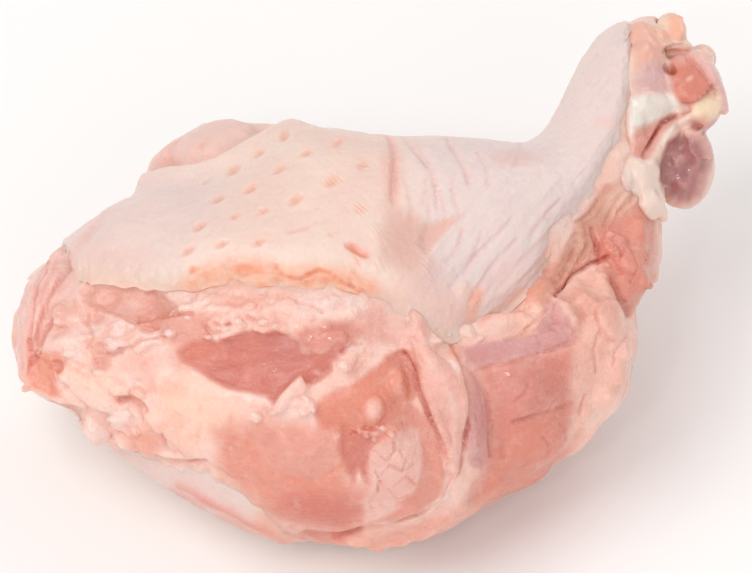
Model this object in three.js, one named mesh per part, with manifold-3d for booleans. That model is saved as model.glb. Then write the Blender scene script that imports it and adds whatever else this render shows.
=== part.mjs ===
// Raw chicken drumette, the upper joint of a chicken wing, lying on its side as it was cut.
// The flesh, muscle with its fat, is one solid with the arm bone running into it from the elbow. The skin is a
// sheet that wraps the flesh over the top, the back and the underside. It is open in front, where the wing was
// cut from the bird, and along the underside of the elbow.
// Millimetres, +Z up, +X to the right, +Y away from the cut front. It rests on its skin at z = 0.

import * as THREE from "three";
import { mergeVertices } from "three/addons/utils/BufferGeometryUtils.js";
import Module from "manifold-3d";

const wasm = await Module();
wasm.setup();

// Driving sizes
const SKIN = 1.0; // thickness of the skin
const GAP = 0.3; // between one tissue and the next
const REST = SKIN + GAP; // height of the flesh above the surface that the skin lies on
const BLEND = 4; // how softly neighbouring muscles run into each other
const CREASE = 1.2; // how softly a ridge or a hollow runs into the surface
const REACH = 60; // longer than any distance from the middle line to the surface

// Muscles and fat, each an ellipsoid between its two tips. wide is its half width across, level with the table,
// and tall its half height.
const MASSES = [
  { name: "belly", tips: [[-30, -6, 15.8], [14.5, -8.6, 16.6]], wide: 19.4, tall: 17.6 },
  { name: "underside", tips: [[-17, -4, 9.5], [14, -4, 9.5]], wide: 14, tall: 10.6 },
  { name: "shoulder", tips: [[-35.5, -5, 16], [-11, -4, 17]], wide: 14, tall: 12.8 },
  { name: "cut end", tips: [[-40.2, -6, 15], [-26, -4, 15]], wide: 9, tall: 7.6 },
  { name: "front bulge", tips: [[-17, -20, 14], [14, -20, 12]], wide: 8.5, tall: 11.5 },
  { name: "side muscle", tips: [[3, -15, 14], [23.5, -11, 14]], wide: 9, tall: 11.5 },
  { name: "side fat", tips: [[22, -15, 14], [25, 1, 16]], wide: 5.5, tall: 10 },
  { name: "upper muscle", tips: [[-17, 2, 22], [9, 3, 22]], wide: 12, tall: 11.5 },
  { name: "back lobe", tips: [[-25, 12, 19], [-3, 12, 19]], wide: 6, tall: 9 },
  { name: "shank root", tips: [[-5, 3.4, 21], [23, 3, 21]], wide: 11, tall: 11 },
  { name: "shank", tips: [[0, -10, 18], [32.5, 17, 20.5]], wide: 7.2, tall: 9.3 },
  { name: "elbow flesh", tips: [[24, -3, 15], [30, 10, 20]], wide: 4.5, tall: 7 },
  { name: "elbow cuff", tips: [[20.5, 3, 20], [31.4, 32, 26]], wide: 5.4, tall: 7.2 },
];

// Narrow forms that stand proud of the muscles, each a rope of the given radius along its path
const RIDGES = [
  { name: "fat under the skin edge", path: [[-19, -13, 29.8], [-10, -14.6, 31], [-3, -14.6, 30.8]], radius: 1.5 },
  { name: "tendon", path: [[4, -16, 29], [7.5, -19.5, 26], [9, -22.5, 20.5], [8, -24.5, 14.5], [5, -25.5, 9.5]], radius: 2 },
  { name: "side fat rim", path: [[18, -8, 24], [23, -8, 24], [26, -11, 20], [24.5, -14.5, 15], [21, -17, 11]], radius: 2.2 },
  { name: "upper fat of the elbow", path: [[26, 1, 22], [27.5, -2, 20]], radius: 2.8 },
  { name: "lip of the cut end", path: [[-38.2, -9, 15], [-36.4, -12, 15.6], [-32.5, -14.6, 16]], radius: 1.5 },
];

// Places where the flesh dips in, each a rope of the given radius cut out of it
const HOLLOWS = [
  { name: "upper window", path: [[-29.5, -9.5, 28.8], [-24.2, -12, 31]], radius: 3 },
  { name: "long window", path: [[-19.7, -20.8, 29.4], [-13.6, -21.8, 31.3], [-7.4, -23, 31.1]], radius: 4 },
  { name: "elbow crease", path: [[18, -4, 26.5], [24.5, -4.5, 25.5], [28.5, -5.5, 21]], radius: 1.4 },
  { name: "side crease", path: [[12, -18, 25.5], [13, -21.8, 20.5], [12.5, -25.2, 14.5], [10, -26.5, 9]], radius: 1.4 },
  { name: "crease inside the tendon", path: [[3, -21, 28.4], [5, -26.5, 22.2], [4.5, -30, 15.5]], radius: 1.3 },
];

// The middle line of the flesh, from the shoulder end to the elbow
const MIDDLE = [
  [-30, -3, 14.5],
  [-22, -4, 16.5],
  [-9, -8, 18],
  [5, -9, 18],
  [15, -4, 18],
  [22, 6, 19.5],
  [26, 15, 21.5],
  [28, 24, 24],
];
const middle = new THREE.CatmullRomCurve3(MIDDLE.map((p) => new THREE.Vector3(...p)));
const HEADINGS = [-7, 74]; // which way the flesh runs at its two ends, in degrees from +X towards +Y

const UP = new THREE.Vector3(0, 0, 1);

for (const m of MASSES) {
  const [a, b] = m.tips.map((p) => new THREE.Vector3(...p));
  const along = b.clone().sub(a);
  m.half = new THREE.Vector3(along.length() / 2, m.wide, m.tall);
  along.normalize();
  const across = new THREE.Vector3().crossVectors(UP, along).normalize();
  const high = new THREE.Vector3().crossVectors(along, across);
  m.inverse = new THREE.Matrix4()
    .makeBasis(along, across, high)
    .setPosition(a.add(b).multiplyScalar(0.5))
    .invert();
}

// Distance from a point to an ellipsoid with half sizes h, near enough close to its surface
const scaled = new THREE.Vector3();
function toEllipsoid(p, h) {
  const k = scaled.copy(p).divide(h).length();
  return k < 1e-6 ? -Math.min(h.x, h.y, h.z) : (k * (k - 1)) / scaled.divide(h).length();
}

function softMin(a, b, k) {
  const h = Math.max(k - Math.abs(a - b), 0) / k;
  return Math.min(a, b) - (h * h * k) / 4;
}

// Distance from a point to a rope of radius r along a path
const segment = new THREE.Line3();
const foot = new THREE.Vector3();
function toRope(p, { path, radius }) {
  let d = Infinity;
  for (let i = 1; i < path.length; i++) {
    segment.start.fromArray(path[i - 1]);
    segment.end.fromArray(path[i]);
    d = Math.min(d, segment.closestPointToPoint(p, true, foot).distanceTo(p));
  }
  return d - radius;
}

// Distance from a point to the flesh, whose underside is pressed flat where it lies
const local = new THREE.Vector3();
function toFlesh(p) {
  let d = Infinity;
  for (const m of MASSES) {
    const e = toEllipsoid(local.copy(p).applyMatrix4(m.inverse), m.half);
    d = d === Infinity ? e : softMin(d, e, BLEND);
  }
  for (const r of RIDGES) d = softMin(d, toRope(p, r), CREASE);
  for (const h of HOLLOWS) d = -softMin(-d, toRope(p, h), CREASE);
  return -softMin(-d, p.z - REST, BLEND / 2);
}

// The point of the surface, at a height above the flesh, that lies at a station and an angle. Stations 0 to 1 run
// along the middle line, -1 to 0 round the shoulder end and 1 to 2 round the elbow end. The angle is in degrees,
// from straight up towards the back, and so negative in front.
const probe = new THREE.Vector3();
function surfaceAt(station, angle, height) {
  const s = THREE.MathUtils.clamp(station, 0, 1);
  const tip = (station - s) * (Math.PI / 2);
  const start = middle.getPoint(s);
  const heading = THREE.MathUtils.lerp(...HEADINGS, THREE.MathUtils.smoothstep(s, 0, 1));
  const along = new THREE.Vector3(1, 0, 0).applyAxisAngle(UP, THREE.MathUtils.degToRad(heading));
  const away = new THREE.Vector3().crossVectors(UP, along);
  const turn = THREE.MathUtils.degToRad(angle);
  const ray = UP.clone().multiplyScalar(Math.cos(turn)).addScaledVector(away, Math.sin(turn));
  ray.multiplyScalar(Math.cos(tip)).addScaledVector(along, Math.sin(tip));
  const gapAt = (t) => toFlesh(probe.copy(start).addScaledVector(ray, t)) - height;
  let reach = REACH;
  let step = gapAt(reach);
  while (step > 0.005 && reach > 1) {
    reach -= Math.max(step * 0.6, 0.05);
    step = gapAt(reach);
  }
  return start.clone().addScaledVector(ray, reach);
}

// A capsule's vertices moved out to the surface at a height above the flesh. Its sides crowd towards the front,
// where the flesh shows.
const FRONT = -75; // the angle that they crowd to
const CROWD = 0.45;
const BEND = 0.35; // how much the rings crowd to the bend of the middle line
function wrapped(height, rings, sides) {
  const capsule = new THREE.CapsuleGeometry(1, 1, rings.cap, sides, rings.run);
  const at = capsule.attributes.position;
  const v = new THREE.Vector3();
  for (let i = 0; i < at.count; i++) {
    v.fromBufferAttribute(at, i);
    const s = THREE.MathUtils.clamp(v.y + 0.5, 0, 1);
    const tip = Math.asin(THREE.MathUtils.clamp(v.y + 0.5 - s, -1, 1)) / (Math.PI / 2);
    const turn = Math.atan2(v.z, v.x);
    const crowded = turn - CROWD * Math.sin(turn - THREE.MathUtils.degToRad(FRONT));
    const station = s + tip + (BEND * Math.sin(2 * Math.PI * s)) / (2 * Math.PI);
    at.setXYZ(i, ...surfaceAt(station, THREE.MathUtils.radToDeg(crowded), height));
  }
  return capsule;
}

// A value that runs evenly between stops, each [where, value]
function graded(stops, where) {
  const next = stops.findIndex((stop) => stop[0] >= where);
  if (next <= 0) return stops.at(next)[1];
  const [a, b] = [stops[next - 1], stops[next]];
  return THREE.MathUtils.mapLinear(where, a[0], b[0], a[1], b[1]);
}

// The skin's two edges, each [station, angle]: the one that shows in front, and the one under the flesh
const FRONT_EDGE = [[-0.8, 20], [-0.3, -12], [0, -24], [0.5, -32], [0.64, -22], [0.74, -14], [1, -10], [1.4, -2]];
const UNDER_EDGE = [[-0.8, 205], [-0.3, 226], [0, 240], [0.28, 242], [0.42, 222], [0.7, 205], [1, 195], [1.4, 190]];
const SKIN_ENDS = [-0.72, 1.36]; // stations of its shoulder end and its elbow end

// A thin box's vertices moved so that it lies in the flesh's surface and stands proud of it by the skin
function sheet(rings, sides) {
  const box = new THREE.BoxGeometry(1, 1, 1, rings, sides, 1);
  const at = box.attributes.position;
  for (let i = 0; i < at.count; i++) {
    const station = THREE.MathUtils.lerp(...SKIN_ENDS, at.getX(i) + 0.5);
    const share = at.getY(i) + 0.5;
    const angle = THREE.MathUtils.lerp(graded(FRONT_EDGE, station), graded(UNDER_EDGE, station), share);
    at.setXYZ(i, ...surfaceAt(station, angle, at.getZ(i) > 0 ? REST : -SKIN));
  }
  return box;
}

// The arm bone: a shaft turned on a lathe, and the two knuckles, the nub and the spur of its elbow end. grow
// fattens it.
const SHAFT = { from: [-14, -9, 19], to: [31, 17.5, 22.5], radius: 3, waist: 2.5, flare: 5 };
const KNUCKLES = [
  { name: "lower knuckle", at: [34, 14.6, 21.6], half: [3.6, 5.2, 4.6] },
  { name: "upper knuckle", at: [34.8, 22, 25], half: [3.9, 5, 4.4] },
  { name: "nub", at: [32.8, 28.6, 27.2], half: [1.9, 3, 2.4] },
  { name: "spur", at: [36.4, 26.4, 26], half: [1.6, 1.7, 1.6] },
];
function bone(grow) {
  const from = new THREE.Vector3(...SHAFT.from);
  const to = new THREE.Vector3(...SHAFT.to);
  const length = from.distanceTo(to);
  const profile = new THREE.SplineCurve([
    new THREE.Vector2(0, -grow),
    new THREE.Vector2(SHAFT.radius * 0.8 + grow, SHAFT.radius * 0.4 - grow),
    new THREE.Vector2(SHAFT.radius + grow, SHAFT.radius * 1.5),
    new THREE.Vector2(SHAFT.waist + grow, length * 0.45),
    new THREE.Vector2(SHAFT.waist + grow, length * 0.7),
    new THREE.Vector2(SHAFT.flare + grow, length * 0.94),
    new THREE.Vector2(SHAFT.flare * 0.9 + grow, length + grow),
  ]).getPoints(16);
  profile[0].x = 0;
  profile.push(new THREE.Vector2(0, length + grow));
  const shaft = new THREE.LatheGeometry(profile, 16);
  const run = to.clone().sub(from).normalize();
  shaft.applyQuaternion(new THREE.Quaternion().setFromUnitVectors(new THREE.Vector3(0, 1, 0), run));
  shaft.translate(...SHAFT.from);
  let made = solid(shaft);
  for (const k of KNUCKLES) {
    const knuckle = new THREE.SphereGeometry(1, 16, 10);
    knuckle.scale(...k.half.map((h) => h + grow));
    knuckle.translate(...k.at);
    made = made.add(solid(knuckle));
  }
  return made;
}

function solid(geometry) {
  const bare = geometry.clone();
  for (const name of ["normal", "uv"]) bare.deleteAttribute(name);
  const merged = mergeVertices(bare, 1e-4);
  return new wasm.Manifold(
    new wasm.Mesh({
      numProp: 3,
      vertProperties: new Float32Array(merged.attributes.position.array),
      triVerts: new Uint32Array(merged.index.array),
    }),
  );
}

function meshOf(name, made, material) {
  const { numProp, vertProperties, triVerts } = made.getMesh();
  const geometry = new THREE.BufferGeometry();
  const interleaved = new THREE.InterleavedBuffer(vertProperties, numProp);
  geometry.setAttribute("position", new THREE.InterleavedBufferAttribute(interleaved, 3, 0));
  geometry.setIndex(new THREE.BufferAttribute(triVerts, 1));
  const flat = geometry.toNonIndexed();
  flat.computeVertexNormals();
  const mesh = new THREE.Mesh(flat, material);
  mesh.name = name;
  return mesh;
}

const finish = (color, roughness) => new THREE.MeshStandardMaterial({ color, roughness, metalness: 0 });
const RINGS = { cap: 10, run: 34 };
const SIDES = 40;
const WEAVE = [38, 34]; // cells of the skin along the flesh and round it

const humerus = bone(0);
const flesh = solid(wrapped(0, RINGS, SIDES)).subtract(bone(GAP));
const skin = solid(sheet(...WEAVE)).subtract(solid(wrapped(GAP, RINGS, SIDES))).subtract(bone(GAP));

// The origin is under the middle of the whole, at the height that it rests on
const drumette = new THREE.Group();
drumette.add(meshOf("flesh", flesh, finish(0xe39a86, 0.35)));
drumette.add(meshOf("skin", skin, finish(0xf0d8cc, 0.4)));
drumette.add(meshOf("humerus", humerus, finish(0xe8dfd2, 0.3)));
const bounds = new THREE.Box3().setFromObject(drumette);
const centre = bounds.getCenter(new THREE.Vector3());
for (const mesh of drumette.children) mesh.geometry.translate(-centre.x, -centre.y, -bounds.min.z);

export default drumette;
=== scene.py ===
"""A raw chicken drumette, the upper joint of a wing, lying cut side forwards on a pale table.

Lengths are in millimetres until a mesh is finished, when it is scaled to metres. Places written as "seen"
are where a point shows from the camera, in the 752 x 573 frame, x to the right and y downwards. Paths,
outlines and the places of lumps and pores are given that way. Turns are in degrees, anticlockwise as seen.
"""

import math

import bpy
import numpy as np
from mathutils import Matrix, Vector, noise
from mathutils.bvhtree import BVHTree


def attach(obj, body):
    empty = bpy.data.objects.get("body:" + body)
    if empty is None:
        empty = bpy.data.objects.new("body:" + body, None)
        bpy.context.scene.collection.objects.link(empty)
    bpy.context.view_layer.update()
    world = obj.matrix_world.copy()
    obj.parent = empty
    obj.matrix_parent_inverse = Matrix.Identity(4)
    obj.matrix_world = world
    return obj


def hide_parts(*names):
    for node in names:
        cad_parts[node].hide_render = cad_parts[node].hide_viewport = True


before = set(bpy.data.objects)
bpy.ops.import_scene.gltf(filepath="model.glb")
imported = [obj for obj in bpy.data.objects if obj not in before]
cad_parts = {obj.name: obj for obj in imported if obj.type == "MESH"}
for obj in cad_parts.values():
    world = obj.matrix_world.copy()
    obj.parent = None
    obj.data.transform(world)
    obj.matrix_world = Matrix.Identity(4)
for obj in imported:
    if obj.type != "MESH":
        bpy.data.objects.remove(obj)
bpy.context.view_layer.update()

# ---- The table, the light and the camera ----
# A white table top under a large soft box above and to the left, with paler fill from the front and the
# right. The camera looks down at the open cut side, half way between level and straight above.

AIM = Vector((0.8, -1.8, 18.0))
DISTANCE = 900.0
LOOK_DOWN = math.radians(50)
FRAME_WIDTH, FRAME_HEIGHT = 752, 573
SEEN_STEP = 0.11  # millimetres to one step of the frame, at the aim
TOWARDS = Vector((0, -math.cos(LOOK_DOWN), math.sin(LOOK_DOWN)))
UPWARDS = Vector((0, math.sin(LOOK_DOWN), math.cos(LOOK_DOWN)))
MM = 0.001


def deselect():
    bpy.ops.object.select_all(action="DESELECT")


def only(thing):
    deselect()
    thing.select_set(True)
    bpy.context.view_layer.objects.active = thing


def seen(points):
    """Where points show in the frame: their x, their y and how near they are."""
    away = points - np.array(AIM)
    near = away @ np.array(TOWARDS)
    scale = SEEN_STEP * (1 - near / DISTANCE)
    return FRAME_WIDTH / 2 + away[:, 0] / scale, FRAME_HEIGHT / 2 - (away @ np.array(UPWARDS)) / scale, near


bpy.ops.object.camera_add(
    location=(AIM + TOWARDS * DISTANCE) * MM, rotation=(math.pi / 2 - LOOK_DOWN, 0, 0)
)
camera = bpy.context.object
camera.data.sensor_width = 36
camera.data.lens = 36 * DISTANCE / (FRAME_WIDTH * SEEN_STEP)
camera.data.clip_start = 0.01
camera.data.clip_end = 50
bpy.context.scene.camera = camera

bpy.ops.mesh.primitive_plane_add(size=4, location=(0, 0, 0))
table = bpy.context.object
table.name = "table"
white = bpy.data.materials.new("white_table")
white.use_nodes = True
white.node_tree.nodes["Principled BSDF"].inputs["Base Color"].default_value = (0.94, 0.935, 0.93, 1)
white.node_tree.nodes["Principled BSDF"].inputs["Roughness"].default_value = 0.6
table.data.materials.append(white)


def soft_box(name, place, aim, size, watts, tint):
    """A square light of a size in metres, turned to face a point."""
    bpy.ops.object.light_add(type="AREA", location=place)
    light = bpy.context.object
    light.name = name
    light.rotation_euler = (Vector(aim) - Vector(place)).to_track_quat("-Z", "Y").to_euler()
    light.data.size = size
    light.data.energy = watts
    light.data.color = tint


soft_box("key_light", (-0.35, -0.15, 0.62), (0, 0, 0.01), 0.5, 2.1, (1.0, 0.985, 0.965))
soft_box("front_fill", (0.25, -0.75, 0.45), (0, 0, 0.01), 0.6, 1.2, (1.0, 0.99, 0.98))
soft_box("spark", (-0.12, -0.42, 0.5), (0, 0, 0.01), 0.05, 0.22, (1.0, 1.0, 1.0))
soft_box("back_light", (0.35, 0.45, 0.5), (0, 0, 0.01), 0.4, 0.8, (1.0, 0.99, 0.98))

world = bpy.data.worlds.new("studio")
bpy.context.scene.world = world
world.use_nodes = True
world.node_tree.nodes["Background"].inputs["Color"].default_value = (1.0, 0.99, 0.985, 1)
world.node_tree.nodes["Background"].inputs["Strength"].default_value = 0.62
bpy.context.scene.view_settings.view_transform = "Standard"

# ---- The flesh ----
# Muscle in its thin sheaths, with fat laid between the muscles and hanging in lumps where the wing was cut
# from the bird. It is grown, then cut, torn and pressed by handling: every form is soft, wet and rounded,
# and the creases are where one muscle lies against the next.

CAD_SHIFT = Vector((0.805, -1.805, -0.011))
SHAFT_FROM = Vector((-14, -9, 19)) + CAD_SHIFT
SHAFT_TO = Vector((31, 17.5, 22.5)) + CAD_SHIFT
PLUG_RADII = (3.8, 5.0)  # of the plug that fills the channel round the shaft, at its two ends
BED_VOXEL, FLESH_VOXEL = 0.8, 0.28  # how fine the smooth bed under the skin is, and the flesh itself

# Lumps of fat and swellings of muscle: where each is seen, half its length, width and height, and its turn
LUMPS = [
    (66, 348, 3.4, 1.6, 1.3, 10), (92, 386, 4.2, 1.7, 1.6, -18), (97, 424, 1.7, 2.2, 1.8, 0),
    (121, 418, 1.9, 1.6, 1.1, 30), (130, 441, 1.8, 1.5, 0.9, 0), (113, 403, 1.8, 1.1, 1.0, -20),
    (36, 312, 1.5, 3.0, 0.8, -12), (50, 288, 1.4, 2.6, 0.8, -20), (99, 338, 2.4, 0.9, 0.8, 5),
    (116, 330, 1.2, 0.7, 0.6, 30), (150, 340, 2.4, 0.9, 0.8, 18), (172, 335, 1.0, 0.9, 0.9, 0),
    (184, 322, 3.2, 1.9, 0.8, 15), (204, 301, 1.6, 0.9, 0.6, 0), (212, 310, 0.9, 0.6, 0.7, 20),
    (231, 313, 1.3, 0.7, 0.6, -20), (249, 307, 1.1, 0.6, 0.5, 10), (268, 314, 0.8, 0.9, 0.7, 40),
    (288, 309, 1.4, 0.6, 0.5, -10), (307, 317, 0.7, 0.6, 0.6, 0), (331, 303, 1.5, 0.7, 0.5, 15),
    (352, 312, 0.9, 0.6, 0.5, 0), (242, 325, 0.7, 0.5, 0.7, 0), (256, 330, 0.6, 0.5, 0.7, 0),
    (300, 329, 0.9, 0.6, 0.6, -30), (325, 326, 0.7, 0.6, 0.5, 0), (224, 320, 0.6, 0.4, 0.6, 30),
    (270, 329, 1.3, 0.9, 0.8, 0), (229, 337, 1.4, 0.8, 0.7, 20), (372, 412, 1.2, 1.5, 1.0, 0),
    (398, 382, 1.1, 1.7, 0.6, 10), (290, 393, 3.0, 1.0, 0.8, 48), (253, 417, 1.3, 0.6, 0.4, -8),
    (307, 406, 1.0, 0.8, 0.6, 30), (332, 348, 2.0, 1.8, 0.6, 0), (466, 333, 1.2, 1.1, 0.8, 0),
    (498, 324, 2.6, 1.3, 1.0, 25), (526, 322, 1.8, 1.3, 0.9, 10), (464, 291, 1.1, 1.4, 0.8, 20),
    (350, 538, 2.2, 1.2, 0.9, 0), (377, 543, 1.7, 1.1, 0.9, 0), (398, 540, 1.5, 1.2, 0.9, 0),
    (418, 534, 1.7, 1.5, 0.9, 0), (442, 519, 2.0, 1.4, 1.0, 35), (640, 236, 1.6, 2.1, 0.9, 0),
    (632, 262, 2.1, 2.2, 1.1, 0), (614, 245, 1.5, 1.6, 0.8, 0), (646, 284, 1.3, 1.6, 1.0, 0),
    (625, 291, 1.6, 1.5, 0.9, 0), (602, 280, 0.8, 1.0, 0.7, 0), (582, 238, 0.5, 1.8, 0.5, 5),
    (628, 344, 1.4, 2.2, 0.9, 0), (618, 371, 1.3, 1.7, 0.9, 15), (604, 396, 1.5, 1.8, 0.9, 30),
    (588, 420, 1.6, 1.8, 0.9, 35), (612, 320, 2.2, 2.6, 0.9, 0), (560, 318, 1.2, 1.9, 0.7, -15),
    (172, 335, 0.8, 0.7, 0.9, 0), (222, 328, 0.6, 0.5, 0.9, 0), (236, 322, 0.6, 0.5, 0.8, 0),
    (266, 324, 1.3, 0.7, 0.9, -10), (283, 331, 0.7, 0.6, 0.8, 0), (206, 336, 0.6, 0.5, 0.8, 30),
    (138, 335, 1.3, 0.6, 0.8, -10), (115, 344, 1.5, 0.7, 0.8, 12), (61, 318, 1.0, 1.6, 0.8, 0),
    (75, 320, 1.5, 1.2, 0.8, 0), (56, 345, 1.2, 1.6, 0.8, 20), (84, 358, 2.2, 1.2, 0.9, -10),
    (70, 376, 2.4, 1.0, 1.2, -12), (108, 380, 1.8, 1.1, 0.9, -25), (122, 388, 1.4, 0.8, 1.0, -10),
    (140, 396, 1.0, 1.2, 0.7, 0), (150, 412, 1.0, 1.6, 0.6, 30), (128, 428, 1.2, 1.3, 0.9, 0),
    (146, 444, 1.4, 0.9, 0.8, -20), (160, 425, 0.9, 1.4, 0.6, 20), (190, 448, 2.2, 1.0, 0.6, -10),
    (118, 440, 1.0, 1.4, 0.9, 0), (300, 388, 0.8, 1.5, 0.8, -40), (284, 398, 1.2, 0.8, 0.7, 45),
    (310, 405, 0.7, 0.7, 0.7, 0), (296, 414, 0.7, 0.5, 0.6, 0), (373, 411, 1.1, 1.4, 1.1, 10),
    (398, 379, 1.0, 1.4, 0.6, 10), (388, 430, 1.5, 0.5, 0.6, 10), (362, 432, 0.8, 0.5, 0.6, 0),
    (344, 367, 0.9, 1.6, 0.6, -40), (336, 351, 1.0, 0.9, 0.6, 0), (418, 318, 1.2, 1.2, 0.6, 0),
    (436, 340, 1.1, 0.8, 0.6, 0), (24, 390, 0.5, 0.9, 0.9, 10), (59, 400, 1.0, 0.7, 0.8, -20),
    (320, 547, 1.8, 0.6, 0.7, 5), (434, 528, 1.3, 1.0, 0.8, 30), (460, 508, 1.4, 1.2, 0.7, 40),
]
# Rolled edges of skin and membrane: how thick, and the path on which each is seen to lie
ROLLS = [
    (
        0.8, (122, 192), (104, 206), (86, 225), (68, 246), (50, 270), (38, 294), (30, 320), (26, 346),
        (29, 374),
    ),
    (0.42, (57, 262), (50, 280), (43, 296), (40, 312), (38, 330)),
    (0.5, (28, 380), (36, 390), (48, 395), (60, 400), (68, 392), (84, 396)),
    (0.35, (27, 388), (25, 394)),
    (0.3, (140, 324), (152, 318), (170, 317), (188, 316)),
    (0.4, (116, 347), (132, 345), (142, 338), (160, 335), (176, 331)),
    (
        0.4, (409, 357), (420, 378), (429, 402), (440, 428), (449, 455), (451, 478), (442, 499), (422, 514),
        (394, 523),
    ),
    (0.3, (368, 463), (370, 450), (384, 440), (404, 428)),
    (0.35, (158, 452), (172, 457), (190, 461), (206, 459)),
    (0.35, (124, 394), (134, 394), (142, 402)),
    (0.35, (556, 292), (572, 272), (590, 260), (604, 256)),
]


def copy_of_node(name, new_name):
    """A copy of a CAD node in millimetres, with its loose triangles joined."""
    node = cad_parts[name]
    copy = node.copy()
    copy.data = node.data.copy()
    copy.parent = None
    copy.hide_render = copy.hide_viewport = False
    for key in list(copy.keys()):
        del copy[key]
    copy.name = copy.data.name = new_name
    bpy.context.scene.collection.objects.link(copy)
    copy.data.materials.clear()
    copy.data.transform(copy.matrix_world)
    copy.matrix_world.identity()
    copy.scale = (1 / MM,) * 3
    only(copy)
    bpy.ops.object.transform_apply(location=False, rotation=False, scale=True)
    bpy.ops.object.mode_set(mode="EDIT")
    bpy.ops.mesh.select_all(action="SELECT")
    bpy.ops.mesh.remove_doubles(threshold=0.004)
    bpy.ops.object.mode_set(mode="OBJECT")
    return copy


def finish_modifier(thing, kind, **settings):
    """Adds a modifier, sets it and applies it."""
    only(thing)
    modifier = thing.modifiers.new(kind.title(), kind)
    for name, value in settings.items():
        setattr(modifier, name, value)
    bpy.ops.object.modifier_apply(modifier=modifier.name)


def take_place(thing, node):
    """Brings a finished piece to metres, and puts it in the place of its node."""
    thing.scale = (MM,) * 3
    only(thing)
    bpy.ops.object.transform_apply(location=False, rotation=False, scale=True)
    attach(thing, "root")
    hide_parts(node)


def tree_of(thing):
    """What rays can be cast at, in the thing's own millimetres."""
    mesh = thing.data
    return BVHTree.FromPolygons([v.co for v in mesh.vertices], [p.vertices for p in mesh.polygons])


def spot(tree, x, y):
    """The point of a surface that is seen at x, y, and which way the surface faces there."""
    across = (x - FRAME_WIDTH / 2) * SEEN_STEP
    up = (FRAME_HEIGHT / 2 - y) * SEEN_STEP
    start = AIM + TOWARDS * DISTANCE
    target = AIM + Vector((across, 0, 0)) + UPWARDS * up
    place, normal, _, _ = tree.ray_cast(start, (target - start).normalized())
    if place is None:
        place, normal, _, _ = tree.find_nearest(target)
    return place, normal


def add_lump(tree, x, y, long, wide, tall, turn):
    """An ellipsoid lying on a surface where it is seen, its length turned anticlockwise in degrees."""
    place, normal = spot(tree, x, y)
    turned = math.radians(turn)
    along = Vector((math.cos(turned), 0, 0)) + UPWARDS * math.sin(turned)
    along = (along - normal * along.dot(normal)).normalized()
    across = normal.cross(along)
    deselect()
    bpy.ops.mesh.primitive_uv_sphere_add(segments=20, ring_count=12, radius=1)
    lump = bpy.context.object
    for vertex in lump.data.vertices:
        out = vertex.co * (1 + 0.3 * noise.noise(vertex.co * 1.3 + place))
        vertex.co = place + along * out.x * long + across * out.y * wide + normal * out.z * tall
    return lump


def add_roll(tree, thick, path):
    """A round roll lying on a surface along a path as seen, as a run of lumps that the remeshing joins."""
    lumps = []
    for (ax, ay), (bx, by) in zip(path, path[1:]):
        steps = max(1, round(math.hypot(bx - ax, by - ay) * SEEN_STEP / thick * 1.6))
        turn = math.degrees(math.atan2(ay - by, bx - ax))
        for step in range(steps):
            share = step / steps
            at = (ax + (bx - ax) * share, ay + (by - ay) * share)
            lumps.append(add_lump(tree, *at, thick * 1.5, thick, thick, turn))
    return lumps


def join(things, name):
    deselect()
    for thing in things:
        thing.select_set(True)
    bpy.context.view_layer.objects.active = things[0]
    bpy.ops.object.join()
    joined = bpy.context.object
    joined.name = joined.data.name = name
    return joined


def run_between(name, start, end, radius_start, radius_end):
    """A tapered plug from one point to another."""
    deselect()
    bpy.ops.mesh.primitive_cone_add(
        vertices=32, radius1=radius_start, radius2=radius_end, depth=(end - start).length
    )
    plug = bpy.context.object
    plug.name = name
    turn = (end - start).to_track_quat("Z", "Y")
    for vertex in plug.data.vertices:
        vertex.co = turn @ vertex.co + (start + end) / 2
    return plug


flesh = copy_of_node("flesh", "muscle_and_fat")
run = (SHAFT_TO - SHAFT_FROM).normalized()
plug = run_between("plug", SHAFT_FROM + run * 0.5, SHAFT_TO - run * 5, *PLUG_RADII)
base = join([flesh, plug], "muscle_and_fat")
flesh_tree = tree_of(base)
skin_bed = base.copy()
skin_bed.data = base.data.copy()
bpy.context.scene.collection.objects.link(skin_bed)
finish_modifier(skin_bed, "REMESH", mode="VOXEL", voxel_size=BED_VOXEL)
finish_modifier(skin_bed, "SMOOTH", factor=0.5, iterations=30)
skin_bed_tree = tree_of(skin_bed)
bpy.data.objects.remove(skin_bed)
lumps = [add_lump(flesh_tree, *lump) for lump in LUMPS]
for thick, *path in ROLLS:
    lumps += add_roll(flesh_tree, thick, path)
flesh = join([base, *lumps], "muscle_and_fat")
finish_modifier(flesh, "REMESH", mode="VOXEL", voxel_size=FLESH_VOXEL)
finish_modifier(flesh, "SMOOTH", factor=0.5, iterations=6)


def smooth(low, high, value):
    share = np.clip((value - low) / (high - low), 0, 1)
    return share * share * (3 - 2 * share)


def clouds(points, size, octaves=2, seed=0):
    """Soft noise, about -1 to 1, with forms of a size in millimetres."""
    shift = Vector((17.3, 5.1, 9.7)) * seed
    return np.array([noise.fractal(Vector(p) / size + shift, 0.9, 2.1, octaves) for p in points])


def ridges(points, size, seed=0):
    """Noise with sharp valleys between rounded lumps, 0 in a valley to about 1 on a lump."""
    shift = Vector((3.3, 15.1, 7.9)) * seed
    return np.array([noise.voronoi(Vector(p) / size + shift)[0][1] for p in points])


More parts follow.
